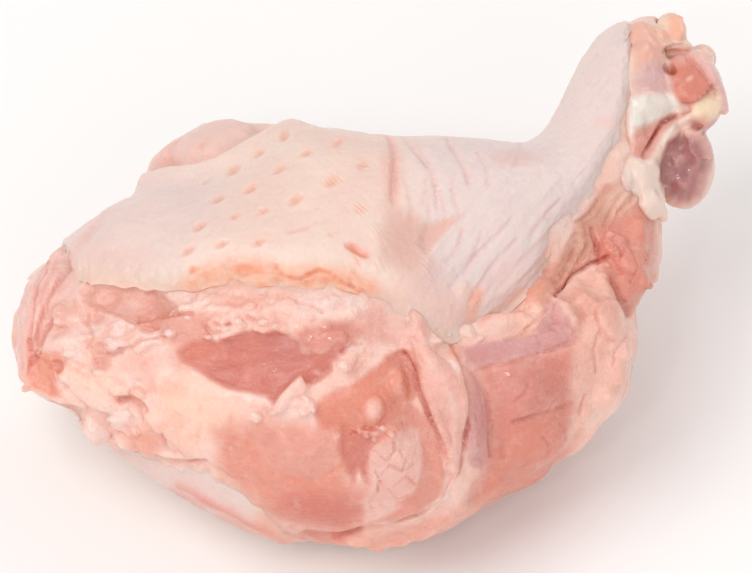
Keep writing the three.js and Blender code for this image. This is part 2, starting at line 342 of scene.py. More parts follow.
class Carving:
    """Forms and tints worked into a piece where they are seen, with edges that wander a little."""

    def __init__(self, thing, wander=2.2):
        self.thing = thing
        mesh = thing.data
        count = len(mesh.vertices)
        flat = np.empty(count * 3)
        mesh.vertices.foreach_get("co", flat)
        self.places = flat.reshape(-1, 3).copy()
        mesh.vertices.foreach_get("normal", flat)
        self.normals = flat.reshape(-1, 3).copy()
        self.x, self.y, _ = seen(self.places)
        for size, share in ((5.0, 1.0), (2.0, 0.4)):
            self.x += wander * share * clouds(self.places, size, 1, 1)
            self.y += wander * share * clouds(self.places, size, 1, 2)
        facing = self.normals @ np.array(TOWARDS)
        self.front = smooth(-0.05, 0.2, facing)
        self.around = smooth(-0.8, -0.3, facing)
        self.broken = 0.7 + 0.5 * clouds(self.places, 3.0, 1, 3)
        self.lift = np.zeros(count)
        self.tints = {}

    def tint(self, name):
        return self.tints.setdefault(name, np.zeros(len(self.lift)))

    def mark(self, share, lift, tints):
        share = share * self.front
        self.lift += share * lift
        for name, strength in tints.items():
            tint = self.tint(name)
            tint += share * (strength - tint)

    def edge(self, path, wide, lift):
        """Moves the outline that is seen, so it works on both sides of it."""
        index = self.near(path, wide * 3)
        distance, _ = self.to_path(index, path, False)
        self.lift[index] += np.exp(-((distance / wide) ** 2)) * self.around[index] * lift

    def near(self, corners, margin):
        corners = np.array(corners, float)
        low, high = corners.min(0) - margin, corners.max(0) + margin
        inside = (self.x > low[0]) & (self.x < high[0]) & (self.y > low[1]) & (self.y < high[1])
        return np.nonzero(inside)[0]

    def to_path(self, index, corners, closed):
        """How far points are from a line through corners, and whether they are inside it."""
        x, y = self.x[index], self.y[index]
        distance = np.full(len(index), 1e9)
        inside = np.zeros(len(index), bool)
        ends = corners[1:] + corners[:1] if closed else corners[1:]
        for (ax, ay), (bx, by) in zip(corners, ends):
            dx, dy = bx - ax, by - ay
            along = np.clip(((x - ax) * dx + (y - ay) * dy) / (dx * dx + dy * dy), 0, 1)
            distance = np.minimum(distance, np.hypot(x - ax - along * dx, y - ay - along * dy))
            if ay != by:
                inside ^= ((ay > y) != (by > y)) & (x < dx * (y - ay) / dy + ax)
        return distance, inside

    def region(self, outline, soft, lift=0.0, **tints):
        soft = soft * 1.5 + 2
        index = self.near(outline, soft)
        distance, inside = self.to_path(index, outline, True)
        share = np.zeros(len(self.lift))
        share[index] = smooth(-soft / 2, soft / 2, np.where(inside, distance, -distance))
        self.mark(share, lift, tints)

    def groove(self, path, wide, lift=0.0, **tints):
        index = self.near(path, wide * 3)
        distance, _ = self.to_path(index, path, False)
        share = np.zeros(len(self.lift))
        share[index] = np.exp(-((distance / wide) ** 2)) * np.clip(self.broken[index], 0.25, 1)
        self.mark(share, lift, tints)

    def swell(self, x, y, long, wide, turn=0.0, lift=0.0, **tints):
        turned = math.radians(turn)
        dx, dy = self.x - x, y - self.y
        along = (dx * math.cos(turned) + dy * math.sin(turned)) / long
        across = (dy * math.cos(turned) - dx * math.sin(turned)) / wide
        self.mark(np.clip(1 - along**2 - across**2, 0, 1) ** 1.5, lift, tints)

    def finish(self):
        mesh = self.thing.data
        moved = self.places + self.normals * self.lift[:, None]
        mesh.vertices.foreach_set("co", moved.ravel())
        for name, tint in self.tints.items():
            layer = mesh.attributes.new(name, "FLOAT", "POINT")
            layer.data.foreach_set("value", tint)
        mesh.update()


carve = Carving(flesh)

# The cut end at the left: torn fat round a strip of bare muscle, with an orange-pink hollow at the lip
carve.region([(20, 300), (45, 262), (78, 285), (70, 330), (45, 345), (30, 385), (12, 385)], 12, muscle=0.35)
carve.region(
    [(80, 291), (92, 284), (120, 286), (150, 288), (166, 296), (176, 307), (165, 313), (148, 321),
     (133, 322), (115, 315), (96, 305), (84, 302)],
    5, lift=-0.5, muscle=0.42, bare=1,
)
carve.swell(155, 304, 26, 12, -20, lift=-0.1, muscle=0.75)
carve.region(
    [(138, 313), (176, 307), (180, 317), (152, 326), (138, 323)],
    4, lift=-0.2, muscle=0.9, orange=0.35,
)
carve.groove([(138, 320), (152, 315), (172, 314), (192, 313)], 2.4, lift=-0.6, blood=0.5)
carve.groove([(118, 350), (132, 348), (142, 341), (166, 338)], 2, lift=-0.5, blood=0.4)
carve.swell(97, 320, 16, 10, 0, lift=-0.1, muscle=0.55)
carve.swell(101, 362, 14, 12, 0, lift=-0.2, muscle=0.5)
carve.groove(
    [(122, 192), (104, 206), (86, 225), (68, 246), (50, 270), (38, 294), (30, 320), (26, 346), (29, 374)],
    9, rolled=1, muscle=0.05,
)
carve.groove(
    [(112, 214), (96, 232), (78, 252), (60, 276), (48, 300), (40, 324), (37, 346)],
    2.6, lift=-0.5, blood=0.4,
)
carve.groove([(60, 262), (50, 280), (43, 296), (40, 312), (38, 330)], 5, rolled=0.6, muscle=0.2)
carve.groove([(53, 322), (47, 335), (41, 348), (33, 360), (27, 374)], 2.4, lift=-0.7, blood=0.5)
carve.groove([(47, 262), (37, 285), (32, 310), (30, 335), (31, 352)], 2.2, lift=-0.5, blood=0.35)
carve.region(
    [(36, 352), (60, 352), (67, 364), (60, 373), (55, 385), (62, 396), (45, 394), (28, 388), (26, 376)],
    8, lift=-0.4, orange=0.75, muscle=0.5,
)
carve.region(
    [(20, 398), (58, 407), (84, 409), (82, 430), (90, 444), (60, 446), (20, 420)],
    5, lift=-0.8, muscle=0.25, white=0.5,
)
carve.groove([(88, 410), (93, 424), (96, 438)], 6, lift=0.5, muscle=0.75, white=0.3)
carve.swell(56, 368, 10, 8, 20, lift=-0.5, orange=1, blood=0.3)
carve.groove([(121, 398), (131, 397), (139, 404), (145, 413)], 4, lift=-0.7, orange=0.7, blood=0.3)
carve.region(
    [(125, 425), (140, 430), (160, 430), (166, 446), (150, 456), (130, 450)],
    8, orange=0.35, muscle=0.3,
)
carve.groove([(158, 454), (172, 460), (188, 464), (205, 462)], 2.4, lift=-0.6, blood=0.6, orange=0.3)
carve.groove([(138, 452), (141, 460), (143, 469)], 2.2, lift=-0.4, orange=0.6)
carve.swell(190, 408, 64, 46, -10, butter=0.9)
carve.swell(100, 385, 60, 24, -20, butter=0.5)
carve.swell(70, 335, 40, 40, 0, white=0.4)
carve.region(
    [(155, 320), (170, 312), (205, 312), (213, 325), (210, 338), (195, 347), (175, 345), (160, 338)],
    5, muscle=0.6, white=0.1,
)

# The two long muscles that the torn fat bares, darker where they are bare
carve.region(
    [(178, 352), (186, 346), (205, 341), (216, 343), (235, 336), (250, 331), (262, 336), (276, 331),
     (291, 336), (301, 341), (304, 351), (319, 352), (336, 342), (346, 344), (345, 353), (331, 361),
     (331, 369), (320, 379), (309, 385), (300, 374), (290, 383), (280, 393), (273, 403), (267, 395),
     (255, 393), (240, 390), (225, 385), (210, 378), (195, 369), (183, 361)],
    5, lift=-0.4, muscle=1, deep=0.75,
)
carve.swell(195, 355, 34, 20, 10, orange=0.3, deep=0.6)
carve.swell(262, 384, 30, 16, 0, fascia=0.35)
carve.swell(292, 348, 34, 22, 0, lilac=0.25)
carve.region(
    [(298, 332), (318, 325), (345, 322), (364, 330), (354, 346), (336, 342), (319, 352), (304, 350)],
    7, muscle=0.8, deep=0.25,
)
carve.region(
    [(215, 430), (235, 424), (265, 426), (300, 425), (320, 428), (340, 440), (348, 462), (345, 480),
     (365, 490), (366, 520), (345, 529), (310, 528), (280, 519), (262, 506), (245, 493), (225, 479),
     (217, 455)],
    16, lift=0.35, muscle=0.85, orange=0.3,
)
carve.swell(290, 452, 62, 30, 4, lift=0.5)
carve.swell(312, 500, 58, 26, -4, lift=0.6)
carve.region(
    [(250, 433), (290, 428), (325, 434), (345, 448), (340, 466), (318, 478), (290, 474), (262, 463)],
    7, white=0.15, muscle=0.75, orange=0.05, lift=-0.15,
)
carve.groove([(250, 436), (262, 466), (290, 477), (318, 480), (342, 466)], 3, lift=-0.25, orange=0.6)
carve.region(
    [(285, 490), (330, 492), (362, 498), (365, 518), (335, 529), (298, 521)],
    16, deep=0.75, orange=0.1,
)
carve.region(
    [(322, 431), (314, 411), (324, 396), (345, 386), (365, 376), (385, 361), (400, 351), (411, 352),
     (417, 366), (419, 381), (416, 396), (406, 402), (398, 420), (370, 434), (345, 434)],
    5, lift=-0.1, muscle=0.9, orange=0.5, deep=0.25,
)
carve.swell(362, 400, 46, 24, 24, lift=0.5)
carve.region(
    [(385, 357), (400, 350), (412, 352), (418, 366), (419, 386), (412, 396), (404, 373), (392, 367)],
    5, muscle=0.9, orange=0.15, deep=0.2,
)
carve.groove([(404, 353), (413, 366), (417, 384), (412, 398)], 4, deep=0.6, orange=0.3)
carve.swell(398, 382, 11, 15, 10, lift=0.2, muscle=0.6, deep=0.1, white=0.2)
carve.region(
    [(343, 425), (358, 433), (375, 437), (390, 430), (376, 446), (367, 462), (366, 481), (358, 470),
     (352, 481), (345, 466), (340, 445)],
    5, lift=-0.4, muscle=1, deep=0.6,
)
carve.swell(373, 411, 12, 15, 0, lift=0.2, muscle=0.1, white=0.3, orange=0, deep=0)
carve.region(
    [(270, 413), (282, 397), (303, 374), (311, 385), (302, 401), (318, 405), (312, 415), (290, 419)],
    4, muscle=0.15, deep=0, white=0.35, lift=0.2,
)
carve.swell(312, 503, 52, 24, -4, deep=0.95)
carve.swell(342, 414, 30, 18, 20, deep=0.6, orange=0.4)

# The round lobe below the middle, with a pale veined sheath, and its rim
carve.region(
    [(404, 398), (425, 415), (439, 445), (446, 470), (441, 493), (421, 510), (390, 519), (366, 523),
     (363, 500), (369, 470), (370, 445), (385, 430)],
    5, lift=0.1, muscle=0.8, orange=0.15, deep=0.05,
)
carve.swell(402, 474, 34, 44, 10, lift=0.7)
carve.region(
    [(371, 447), (385, 439), (404, 426), (418, 429), (422, 450), (420, 470), (411, 490), (396, 500),
     (380, 515), (366, 514), (362, 500), (370, 480), (368, 461)],
    3, lift=0.1, muscle=0.4, white=0.5, orange=0,
)
for vein in (
    [(374, 451), (386, 459), (394, 449), (392, 440)],
    [(380, 472), (390, 462), (401, 467), (413, 461)],
    [(394, 481), (404, 472), (413, 479)],
    [(387, 486), (395, 495), (406, 491)],
    [(373, 468), (379, 478), (376, 490)],
    [(398, 449), (405, 457), (401, 467)],
):
    carve.groove(vein, 1.3, lift=-0.22, blood=0.38)
carve.region(
    [(364, 521), (368, 500), (385, 497), (402, 503), (386, 514)],
    3, lift=0.2, white=0.5, muscle=0.3,
)
carve.groove(
    [(404, 352), (414, 366), (419, 390), (430, 418), (440, 440), (449, 462), (450, 481), (441, 501),
     (421, 515), (392, 524), (366, 527), (340, 534), (306, 532)],
    2.2, lift=-0.6, blood=0.42,
)
carve.groove(
    [(434, 447), (441, 466), (441, 482), (432, 497), (413, 508), (388, 516)],
    5, lift=0.25, white=0.2,
)

# The tendon and the lilac sheath beside it, which runs on over the side muscle
carve.region(
    [(414, 356), (421, 375), (429, 400), (437, 425), (425, 419), (419, 395), (416, 375)],
    4, muscle=0.8,
)
carve.region(
    [(411, 338), (430, 349), (446, 364), (457, 377), (466, 391), (468, 411), (465, 431), (462, 455),
     (456, 476), (450, 481), (445, 460), (440, 440), (432, 410), (425, 385), (416, 358)],
    3, lift=0.5, muscle=0.46, white=0.1, orange=0, deep=0, blood=0,
)
carve.groove(
    [(424, 352), (442, 376), (453, 402), (455, 440), (451, 468)],
    5, lift=0.3, white=0.35, muscle=0.25,
)
carve.groove(
    [(452, 345), (461, 361), (468, 382), (470, 402), (468, 431), (464, 453), (459, 472)],
    2.2, lift=-0.6, blood=0.5,
)
carve.swell(455, 353, 9, 12, 30, orange=0.8)
carve.region(
    [(471, 374), (479, 384), (486, 400), (488, 430), (489, 455), (481, 470), (471, 466), (467, 440),
     (471, 410)],
    3, lift=0.2, lilac=0.85, muscle=0.3,
)
carve.groove([(476, 378), (485, 394), (489, 425), (490, 455)], 2.4, lift=-0.3, blood=0.22)
carve.region(
    [(475, 374), (500, 367), (530, 358), (555, 351), (573, 343), (577, 380), (577, 415), (574, 440),
     (563, 463), (545, 483), (520, 503), (490, 525), (478, 500), (490, 470), (489, 435), (487, 402)],
    20, muscle=0.9, deep=0.3, lilac=0,
)
carve.swell(517, 385, 40, 60, -15, lilac=0.25, muscle=0.9)
carve.groove([(486, 400), (488, 430), (489, 455), (484, 480)], 6, deep=0.4)
carve.region(
    [(500, 432), (540, 412), (574, 402), (577, 430), (566, 462), (540, 487), (510, 512), (480, 532),
     (468, 505), (490, 471)],
    16, muscle=0.9, deep=0.35, orange=0.25, fascia=0.5,
)
carve.swell(525, 398, 44, 40, 0, lift=0.5)
carve.swell(540, 450, 36, 30, 40, lift=0.5)
carve.groove([(513, 422), (530, 417), (553, 410), (572, 402)], 2.4, lift=-0.35, blood=0.3)
for fold in (
    [(528, 386), (524, 394), (517, 400)],
    [(547, 391), (543, 400), (539, 404)],
    [(500, 448), (503, 458)],
    [(541, 436), (547, 446), (543, 458)],
    [(558, 424), (566, 430), (567, 440)],
    [(524, 462), (514, 472), (502, 478)],
):
    carve.groove(fold, 2, lift=-0.2, blood=0.2)
carve.groove([(477, 462), (480, 480), (481, 498), (476, 516)], 2.4, lift=0.25, white=0.5, muscle=0.5)
carve.region(
    [(463, 350), (480, 345), (505, 340), (535, 336), (556, 330), (573, 328), (573, 338), (555, 347),
     (530, 354), (500, 362), (476, 368), (467, 362)],
    3, lift=0.25, lilac=0.9, muscle=0.1, deep=0,
)
carve.groove([(478, 371), (500, 365), (530, 357), (552, 350), (575, 342)], 2.2, lift=-0.28, blood=0.32)

# The fat and the thin sheath that the skin's edge lies on, from the middle to the elbow
carve.region(
    [(185, 262), (230, 252), (270, 255), (320, 262), (350, 270), (378, 285), (374, 304), (330, 309),
     (270, 306), (215, 299), (190, 291)],
    12, orange=0.3, muscle=0.1,
)
carve.region(
    [(183, 290), (215, 286), (260, 288), (320, 292), (376, 292), (372, 314), (330, 316), (260, 314),
     (200, 308)],
    8, grainy=1,
)
carve.region([(290, 286), (378, 290), (372, 314), (300, 314)], 14, white=0.55, orange=0.05)

# The strip below the skin's edge is a crumble of small fat grains, flushed between them
grains = carve.tints.pop("grainy") * carve.front
beads = ridges(carve.places, 1.5, 6)
carve.lift += grains * (0.5 * beads - 0.25 + 0.25 * clouds(carve.places, 2.2, 2, 26))
carve.tint("orange")[:] += grains * 0.6 * smooth(0.4, 0.1, beads)
carve.tint("blood")[:] += grains * 0.3 * smooth(0.2, 0.02, beads)
carve.tint("white")[:] += grains * 0.35 * smooth(0.4, 0.7, beads)
carve.swell(240, 301, 24, 8, 0, orange=0.6, muscle=0.3)
carve.region(
    [(190, 250), (250, 240), (380, 262), (384, 296), (330, 286), (270, 283), (200, 280)],
    14, lift=-0.3,
)

# The sheath on to the elbow, in folds, and the pad of muscle and fat beside it
carve.region(
    [(370, 285), (425, 295), (440, 330), (415, 345), (380, 340), (362, 318)],
    12, muscle=0.3, white=0.2,
)
carve.region(
    [(478, 322), (500, 290), (540, 268), (558, 260), (552, 290), (530, 310), (500, 337)],
    9, orange=0.5, muscle=0.4,
)
carve.region(
    [(480, 325), (505, 306), (535, 298), (550, 312), (540, 332), (505, 343), (480, 345)],
    5, orange=0.15, fascia=0.1, muscle=0,
)
carve.groove([(505, 341), (520, 335), (533, 325), (546, 310)], 2.2, lift=-0.3, fascia=0.5)
carve.swell(467, 333, 11, 12, 0, white=0.6, muscle=0.1)
carve.region(
    [(548, 299), (561, 304), (574, 330), (566, 346), (546, 347), (538, 332)],
    3, lilac=0.8, muscle=0.4, lift=0.1,
)
carve.region(
    [(604, 186), (636, 176), (658, 184), (642, 215), (601, 232), (593, 260), (575, 270), (556, 291),
     (545, 311), (534, 300), (548, 282), (563, 250), (574, 228)],
    4, fascia=0.9, orange=0.1, muscle=0.1,
)
carve.swell(626, 196, 32, 22, 50, fascia=0.25, butter=0.6)
# A painted highlight runs down the sheath here as a white streak
carve.groove([(579, 226), (582, 250)], 2.4, lift=0.15, white=0.6)
for fold in (
    [(598, 200), (590, 214), (578, 222)],
    [(622, 196), (612, 210), (604, 226)],
    [(636, 190), (630, 204), (618, 214)],
    [(574, 250), (568, 264), (560, 276)],
    [(586, 246), (580, 260), (572, 270)],
):
    carve.groove(fold, 2.4, lift=-0.25, fascia=1, blood=0.1)
    carve.groove([(x + 4, y + 1) for x, y in fold], 2.4, lift=0.2, white=0.3)
carve.region(
    [(565, 291), (590, 270), (606, 276), (626, 311), (634, 335), (642, 345), (628, 388), (607, 405),
     (583, 432), (565, 452), (568, 420), (573, 390), (576, 350), (571, 320), (560, 301)],
    12, muscle=0.15, orange=0.06, fascia=0.15, deep=0,
)
carve.swell(600, 308, 30, 26, -20, muscle=0.35, fascia=0.3)
# The groove at the side fat's rim is darkened with fascia brown and red as painted shade
carve.groove([(556, 292), (573, 300), (583, 318), (579, 336)], 4.5, lift=-0.5, fascia=0.7, blood=0.2)
carve.region(
    [(592, 235), (605, 222), (625, 216), (642, 208), (660, 222), (662, 250), (660, 280), (655, 297),
     (642, 304), (628, 314), (614, 290), (604, 275), (595, 262)],
    7, muscle=0.75, orange=0.12, deep=0.1, fascia=0.5,
)
carve.swell(640, 226, 24, 22, 0, orange=0.3, deep=0.1, fascia=0.75)
carve.swell(610, 245, 22, 26, 0, deep=0.35, muscle=0.9)
carve.swell(622, 196, 34, 24, 40, white=0.45)
carve.groove([(556, 293), (572, 274), (590, 263), (606, 258)], 2.3, lift=-1.2, blood=0.7)
carve.groove([(592, 229), (595, 245), (598, 262)], 2, lift=-0.6, blood=0.5)
carve.groove([(610, 280), (620, 296), (630, 313)], 3, lift=-0.5, blood=0.55)
for fold in (
    [(612, 240), (622, 250), (618, 262)],
    [(632, 250), (638, 268), (630, 282)],
    [(645, 250), (650, 265)],
    [(626, 338), (616, 350), (612, 365)],
    [(600, 330), (594, 350), (597, 372)],
    [(586, 395), (580, 412)],
):
    carve.groove(fold, 1.8, lift=-0.3, blood=0.2)

# The underside's rim of fat, below the round lobe
carve.region(
    [(300, 532), (340, 535), (366, 529), (400, 525), (440, 517), (470, 505), (500, 488), (455, 545),
     (400, 562), (330, 562), (296, 552)],
    6, orange=0.25, muscle=0.35, deep=0,
)
carve.groove([(303, 533), (320, 535), (340, 535), (360, 529)], 3.6, lift=-0.4, blood=0.5, muscle=0.8)
for strand in (
    [(262, 512), (285, 530), (310, 543), (340, 550)],
    [(280, 534), (300, 545), (330, 552)],
    [(290, 526), (318, 539), (346, 541)],
):
    carve.groove(strand, 2.6, lift=0.3, muscle=0.8, blood=0.25, lilac=0.2)

# Beads of fat, where each is seen and how large, and the creases between lumps. The beads are whitened
# partly as the fat's own colour and partly as painted highlight for wet glints on them
for x, y, size in (
    (297, 403, 5), (306, 399, 4), (303, 411, 4), (312, 408, 3), (256, 416, 7), (359, 431, 4),
    (366, 437, 3), (381, 429, 4), (390, 433, 3), (373, 440, 3), (188, 318, 4), (226, 327, 4),
    (237, 321, 4), (171, 334, 6), (209, 337, 4), (262, 322, 5), (276, 328, 4), (344, 366, 6),
    (318, 372, 5), (426, 265, 5), (610, 236, 4), (607, 266, 4), (616, 254, 3), (437, 341, 5),
    (449, 336, 4), (112, 420, 5), (136, 431, 5), (98, 372, 6), (70, 352, 6), (108, 342, 5), (60, 322, 5),
    (82, 338, 5), (130, 412, 5), (480, 341, 4),
):
    carve.swell(x, y, size * 1.4, size, 20 * math.sin(x), lift=0.45, white=0.8, muscle=0.1, blood=0)
for crease in (
    [(214, 322), (222, 326), (228, 324)],
    [(246, 316), (256, 321), (266, 320)],
    [(296, 303), (312, 307), (322, 313)],
    [(206, 326), (212, 333), (222, 331)],
    [(128, 320), (144, 328), (158, 327)],
    [(96, 352), (110, 356), (122, 352)],
    [(86, 322), (92, 334), (88, 346)],
    [(162, 434), (166, 446), (176, 452)],
    [(343, 352), (352, 346), (362, 346)],
    [(352, 434), (366, 428), (380, 432)],
):
    carve.groove(crease, 2, lift=-0.35, blood=0.35)

# Where more muscle shows through the fat
carve.swell(410, 330, 28, 24, 0, muscle=0.4)
carve.swell(372, 328, 30, 24, 0, muscle=0.5)
carve.swell(146, 362, 34, 14, 0, muscle=0.3)
carve.swell(100, 345, 16, 11, 0, muscle=0.12, white=0.3)

# The upper part of the roll is as pale as the skin that it goes on from
carve.region(
    [(58, 236), (80, 250), (86, 286), (70, 300), (52, 300), (36, 320), (22, 330), (28, 285), (44, 258)],
    12, white=0.5, muscle=0.1, rolled=0.4,
)
carve.groove([(56, 262), (46, 284), (40, 306)], 3, rolled=0.9, blood=0.12)
carve.groove([(26, 290), (18, 318), (16, 345), (20, 368)], 7, rolled=1, muscle=0.3)

# Paler fat beside the elbow, and the white lobe under the lip
carve.swell(622, 198, 34, 22, 50, muscle=0, fascia=0.36, butter=0.7)
carve.swell(600, 216, 14, 12, 40, fascia=0.85)
carve.swell(97, 428, 16, 26, 10, white=0.95, muscle=0, blood=0)

# The outline draws in below the lip, beside the elbow and along the side
carve.edge([(26, 408), (44, 414), (66, 418)], 13, -1.2)
carve.edge([(14, 300), (12, 330), (16, 360)], 14, -0.5)
carve.edge([(662, 205), (664, 235), (661, 265)], 12, -0.7)
carve.edge([(652, 292), (645, 308)], 12, -1.0)
carve.edge([(646, 325), (646, 345), (638, 375)], 14, -0.7)
carve.edge([(606, 425), (586, 448), (562, 468)], 16, -0.8)

# Out of sight from the camera the same tissues lie in broad patches
hidden = 1 - carve.front
patches = smooth(-0.15, 0.25, clouds(carve.places, 14, 2, 5))
carve.tint("muscle")[:] += hidden * (0.25 + 0.6 * patches)
carve.tint("deep")[:] += hidden * 0.4 * smooth(0.1, 0.5, clouds(carve.places, 9, 2, 6))
carve.tint("orange")[:] += hidden * 0.4 * smooth(0.0, 0.5, clouds(carve.places, 8, 2, 7))

# Fat is knobbly, with pink and red painted shade in its creases and painted highlight whitening its ridges,
# most where it is torn; muscle is drawn out along its fibres
fat = np.clip(1 - carve.tint("muscle") - 0.6 * carve.tint("fascia") - carve.tint("lilac"), 0, 1)
fat *= 1 - carve.tints.pop("bare")
torn = 0.45 + 0.55 * smooth(225, 150, carve.x) * carve.front
knobs = clouds(carve.places, 2.4, 2, 8)
folds = ridges(carve.places + 0.8 * knobs[:, None], 2.6, 1)
small = ridges(carve.places + 0.5 * knobs[:, None], 1.25, 2)
carve.lift += fat * torn * (0.34 * knobs + 0.75 * (np.minimum(folds, 0.6) - 0.45))
carve.lift += fat * np.clip(torn - 0.4, 0, 1) * 0.5 * (np.minimum(small, 0.6) - 0.4)
# The valleys between the fat's knobs get pink and red as painted shade
painted_crease_shade = smooth(0.42, 0.1, folds) * 0.4 + smooth(0.35, 0.05, small) * 0.25
carve.tint("blood")[:] += fat * torn * 0.35 * smooth(0.2, 0.0, folds)
carve.tint("muscle")[:] += fat * torn * painted_crease_shade
carve.tint("orange")[:] += fat * torn * 0.3 * smooth(0.05, 0.5, clouds(carve.places, 5, 2, 16))
# The fold tops are whitened as painted highlight, on top of patchy pale fat
pale = 0.5 * smooth(0.0, 0.5, clouds(carve.places, 4, 2, 17)) + 0.3 * torn * smooth(0.4, 0.8, folds)
carve.tint("white")[:] += fat * pale
carve.tint("white")[:] += (1 - fat) * 0.25 * smooth(0.0, 0.5, clouds(carve.places, 3, 2, 18))
carve.lift += (1 - fat) * 0.12 * clouds(carve.places * np.array((0.4, 1, 1)), 1.6, 2, 9)
carve.lift += 0.3 * clouds(carve.places, 7, 2, 10)
carve.finish()


class Socket:
    """An output of a shader node that can stand in a sum; each sum adds Math nodes."""

    def __init__(self, finish, socket):
        self.finish, self.socket = finish, socket

    def sum(self, operation, a, b=0.0):
        return self.finish.node("Math", {"operation": operation}, {0: a, 1: b})

    def __add__(self, other):
        return self.sum("ADD", self, other)

    def __sub__(self, other):
        return self.sum("SUBTRACT", self, other)

    def __rsub__(self, other):
        return self.sum("SUBTRACT", other, self)

    def __mul__(self, other):
        return self.sum("MULTIPLY", self, other)

    __radd__, __rmul__ = __add__, __mul__

    def between(self, low, high, to_low=0.0, to_high=1.0):
        settings = {"interpolation_type": "SMOOTHSTEP"}
        return self.finish.node("MapRange", settings, {0: self, 1: low, 2: high, 3: to_low, 4: to_high})


class Finish:
    """A material being written, with its principled shader."""

    def __init__(self, name, **fixed):
        self.material = bpy.data.materials.new(name)
        self.material.use_nodes = True
        self.tree = self.material.node_tree
        self.shader = self.tree.nodes["Principled BSDF"]
        for socket, value in fixed.items():
            self.shader.inputs[socket.replace("_", " ").title().replace("Ior", "IOR")].default_value = value
        self.object = self.node("TexCoord", {}, {}, "Object")

    def node(self, kind, settings, links, output=0):
        added = self.tree.nodes.new("ShaderNode" + kind)
        for name, value in settings.items():
            setattr(added, name, value)
        for name, value in links.items():
            self.link(value, added.inputs[name])
        return Socket(self, added.outputs[output])

    def link(self, value, socket):
        if isinstance(value, Socket):
            self.tree.links.new(value.socket, socket)
        else:
            socket.default_value = value

    def tint(self, name):
        return self.node("Attribute", {"attribute_name": name}, {}, "Fac")

    def noise(self, scale, detail=3.0, roughness=0.55, distortion=0.0, stretch=(1, 1, 1)):
        place = self.node("Mapping", {}, {"Vector": self.object, "Scale": stretch})
        links = {
            "Vector": place, "Scale": scale, "Detail": detail,
            "Roughness": roughness, "Distortion": distortion,
        }
        return self.node("TexNoise", {}, links)

    def mix(self, share, a, b):
        links = {0: share, 6: a, 7: b}
        return self.node("Mix", {"data_type": "RGBA"}, links, 2)

    def bump(self, height, depth):
        return self.node("Bump", {}, {"Height": height, "Distance": depth, "Strength": 1.0})

    def feed(self, **links):
        for name, value in links.items():
            self.link(value, self.shader.inputs[name.replace("_", " ").title()])


def shade(red, green, blue):
    """A colour as a paint chart gives it, 0 to 255, made linear."""
    parts = [part / 255 for part in (red, green, blue)]
    return (*[part / 12.92 if part <= 0.04045 else ((part + 0.055) / 1.055) ** 2.4 for part in parts], 1.0)


# The flesh's material: each tissue's colour laid over cream fat, wet all over
wet = Finish(
    "raw_flesh", subsurface_weight=0.35, subsurface_radius=(1.0, 0.35, 0.22), subsurface_scale=0.0025,
    specular_ior_level=0.5, coat_roughness=0.12,
)
broad = wet.noise(180, 2)
fine = wet.noise(900, 3)
colour = wet.mix(broad.between(0.35, 0.65), shade(248, 203, 187), shade(244, 193, 177))
colour = wet.mix(wet.tint("white"), colour, shade(244, 216, 208))
colour = wet.mix(wet.tint("butter"), colour, shade(250, 206, 184))
colour = wet.mix(wet.tint("fascia"), colour, shade(206, 152, 130))
pink = wet.mix(broad.between(0.4, 0.62), shade(223, 142, 126), shade(214, 132, 115))
colour = wet.mix(wet.tint("muscle"), colour, pink)
colour = wet.mix(wet.tint("deep"), colour, shade(210, 120, 106))
colour = wet.mix(wet.tint("orange") * fine.between(0.25, 0.6, 0.7, 1.0), colour, shade(236, 148, 118))
colour = wet.mix(wet.tint("lilac"), colour, shade(208, 148, 147))
colour = wet.mix(wet.tint("rolled"), colour, shade(238, 182, 172))
colour = wet.mix(wet.tint("blood"), colour, shade(192, 84, 70))
strands = wet.node("TexVoronoi", {"feature": "DISTANCE_TO_EDGE"}, {
    "Vector": wet.node(
        "Mapping", {}, {"Vector": wet.object, "Scale": (0.5, 1, 1), "Rotation": (0, 0, 0.4)}
    ),
    "Scale": 330.0,
})
shallow = wet.tint("muscle") - wet.tint("deep")
netted = strands.between(0.0, 0.1, 0.14, 0.0) * shallow * broad.between(0.45, 0.6)
colour = wet.mix(netted, colour, shade(246, 206, 192))
mottled = wet.noise(420, 4, 0.65, 0.6)
in_fat = 1 - wet.tint("muscle") * 0.6
colour = wet.mix(mottled.between(0.5, 0.72, 0.0, 0.36) * in_fat, colour, shade(249, 214, 200))
colour = wet.mix(mottled.between(0.5, 0.3, 0.0, 0.26), colour, shade(214, 124, 104))
speckled = wet.noise(1900, 4, 0.7)
colour = wet.mix(speckled.between(0.52, 0.7, 0.0, 0.1), colour, shade(250, 222, 210))
colour = wet.mix(speckled.between(0.48, 0.3, 0.0, 0.1), colour, shade(206, 108, 92))
fibres = wet.noise(1500, 2, 0.5, 0.0, (0.12, 1, 1))
grain = fine * 0.6 + fibres * wet.tint("muscle") * 0.5 + wet.noise(2600, 3) * 0.3
wet.feed(
    base_color=colour,
    roughness=fine.between(0.3, 0.7, 0.34, 0.5),
    coat_weight=broad.between(0.42, 0.6, 0.15, 0.6),
    normal=wet.bump(grain, 0.0004),
)
flesh.data.materials.append(wet.material)

# ---- The skin ----
# A thin moist sheet with feather pores, grown over the top, the back and the underside. It is pulled tight
# over the narrow elbow end, folded where the two ends meet, and its cut edge thins out over the fat in
# front. It is a grid laid on the flesh, with a thickness.

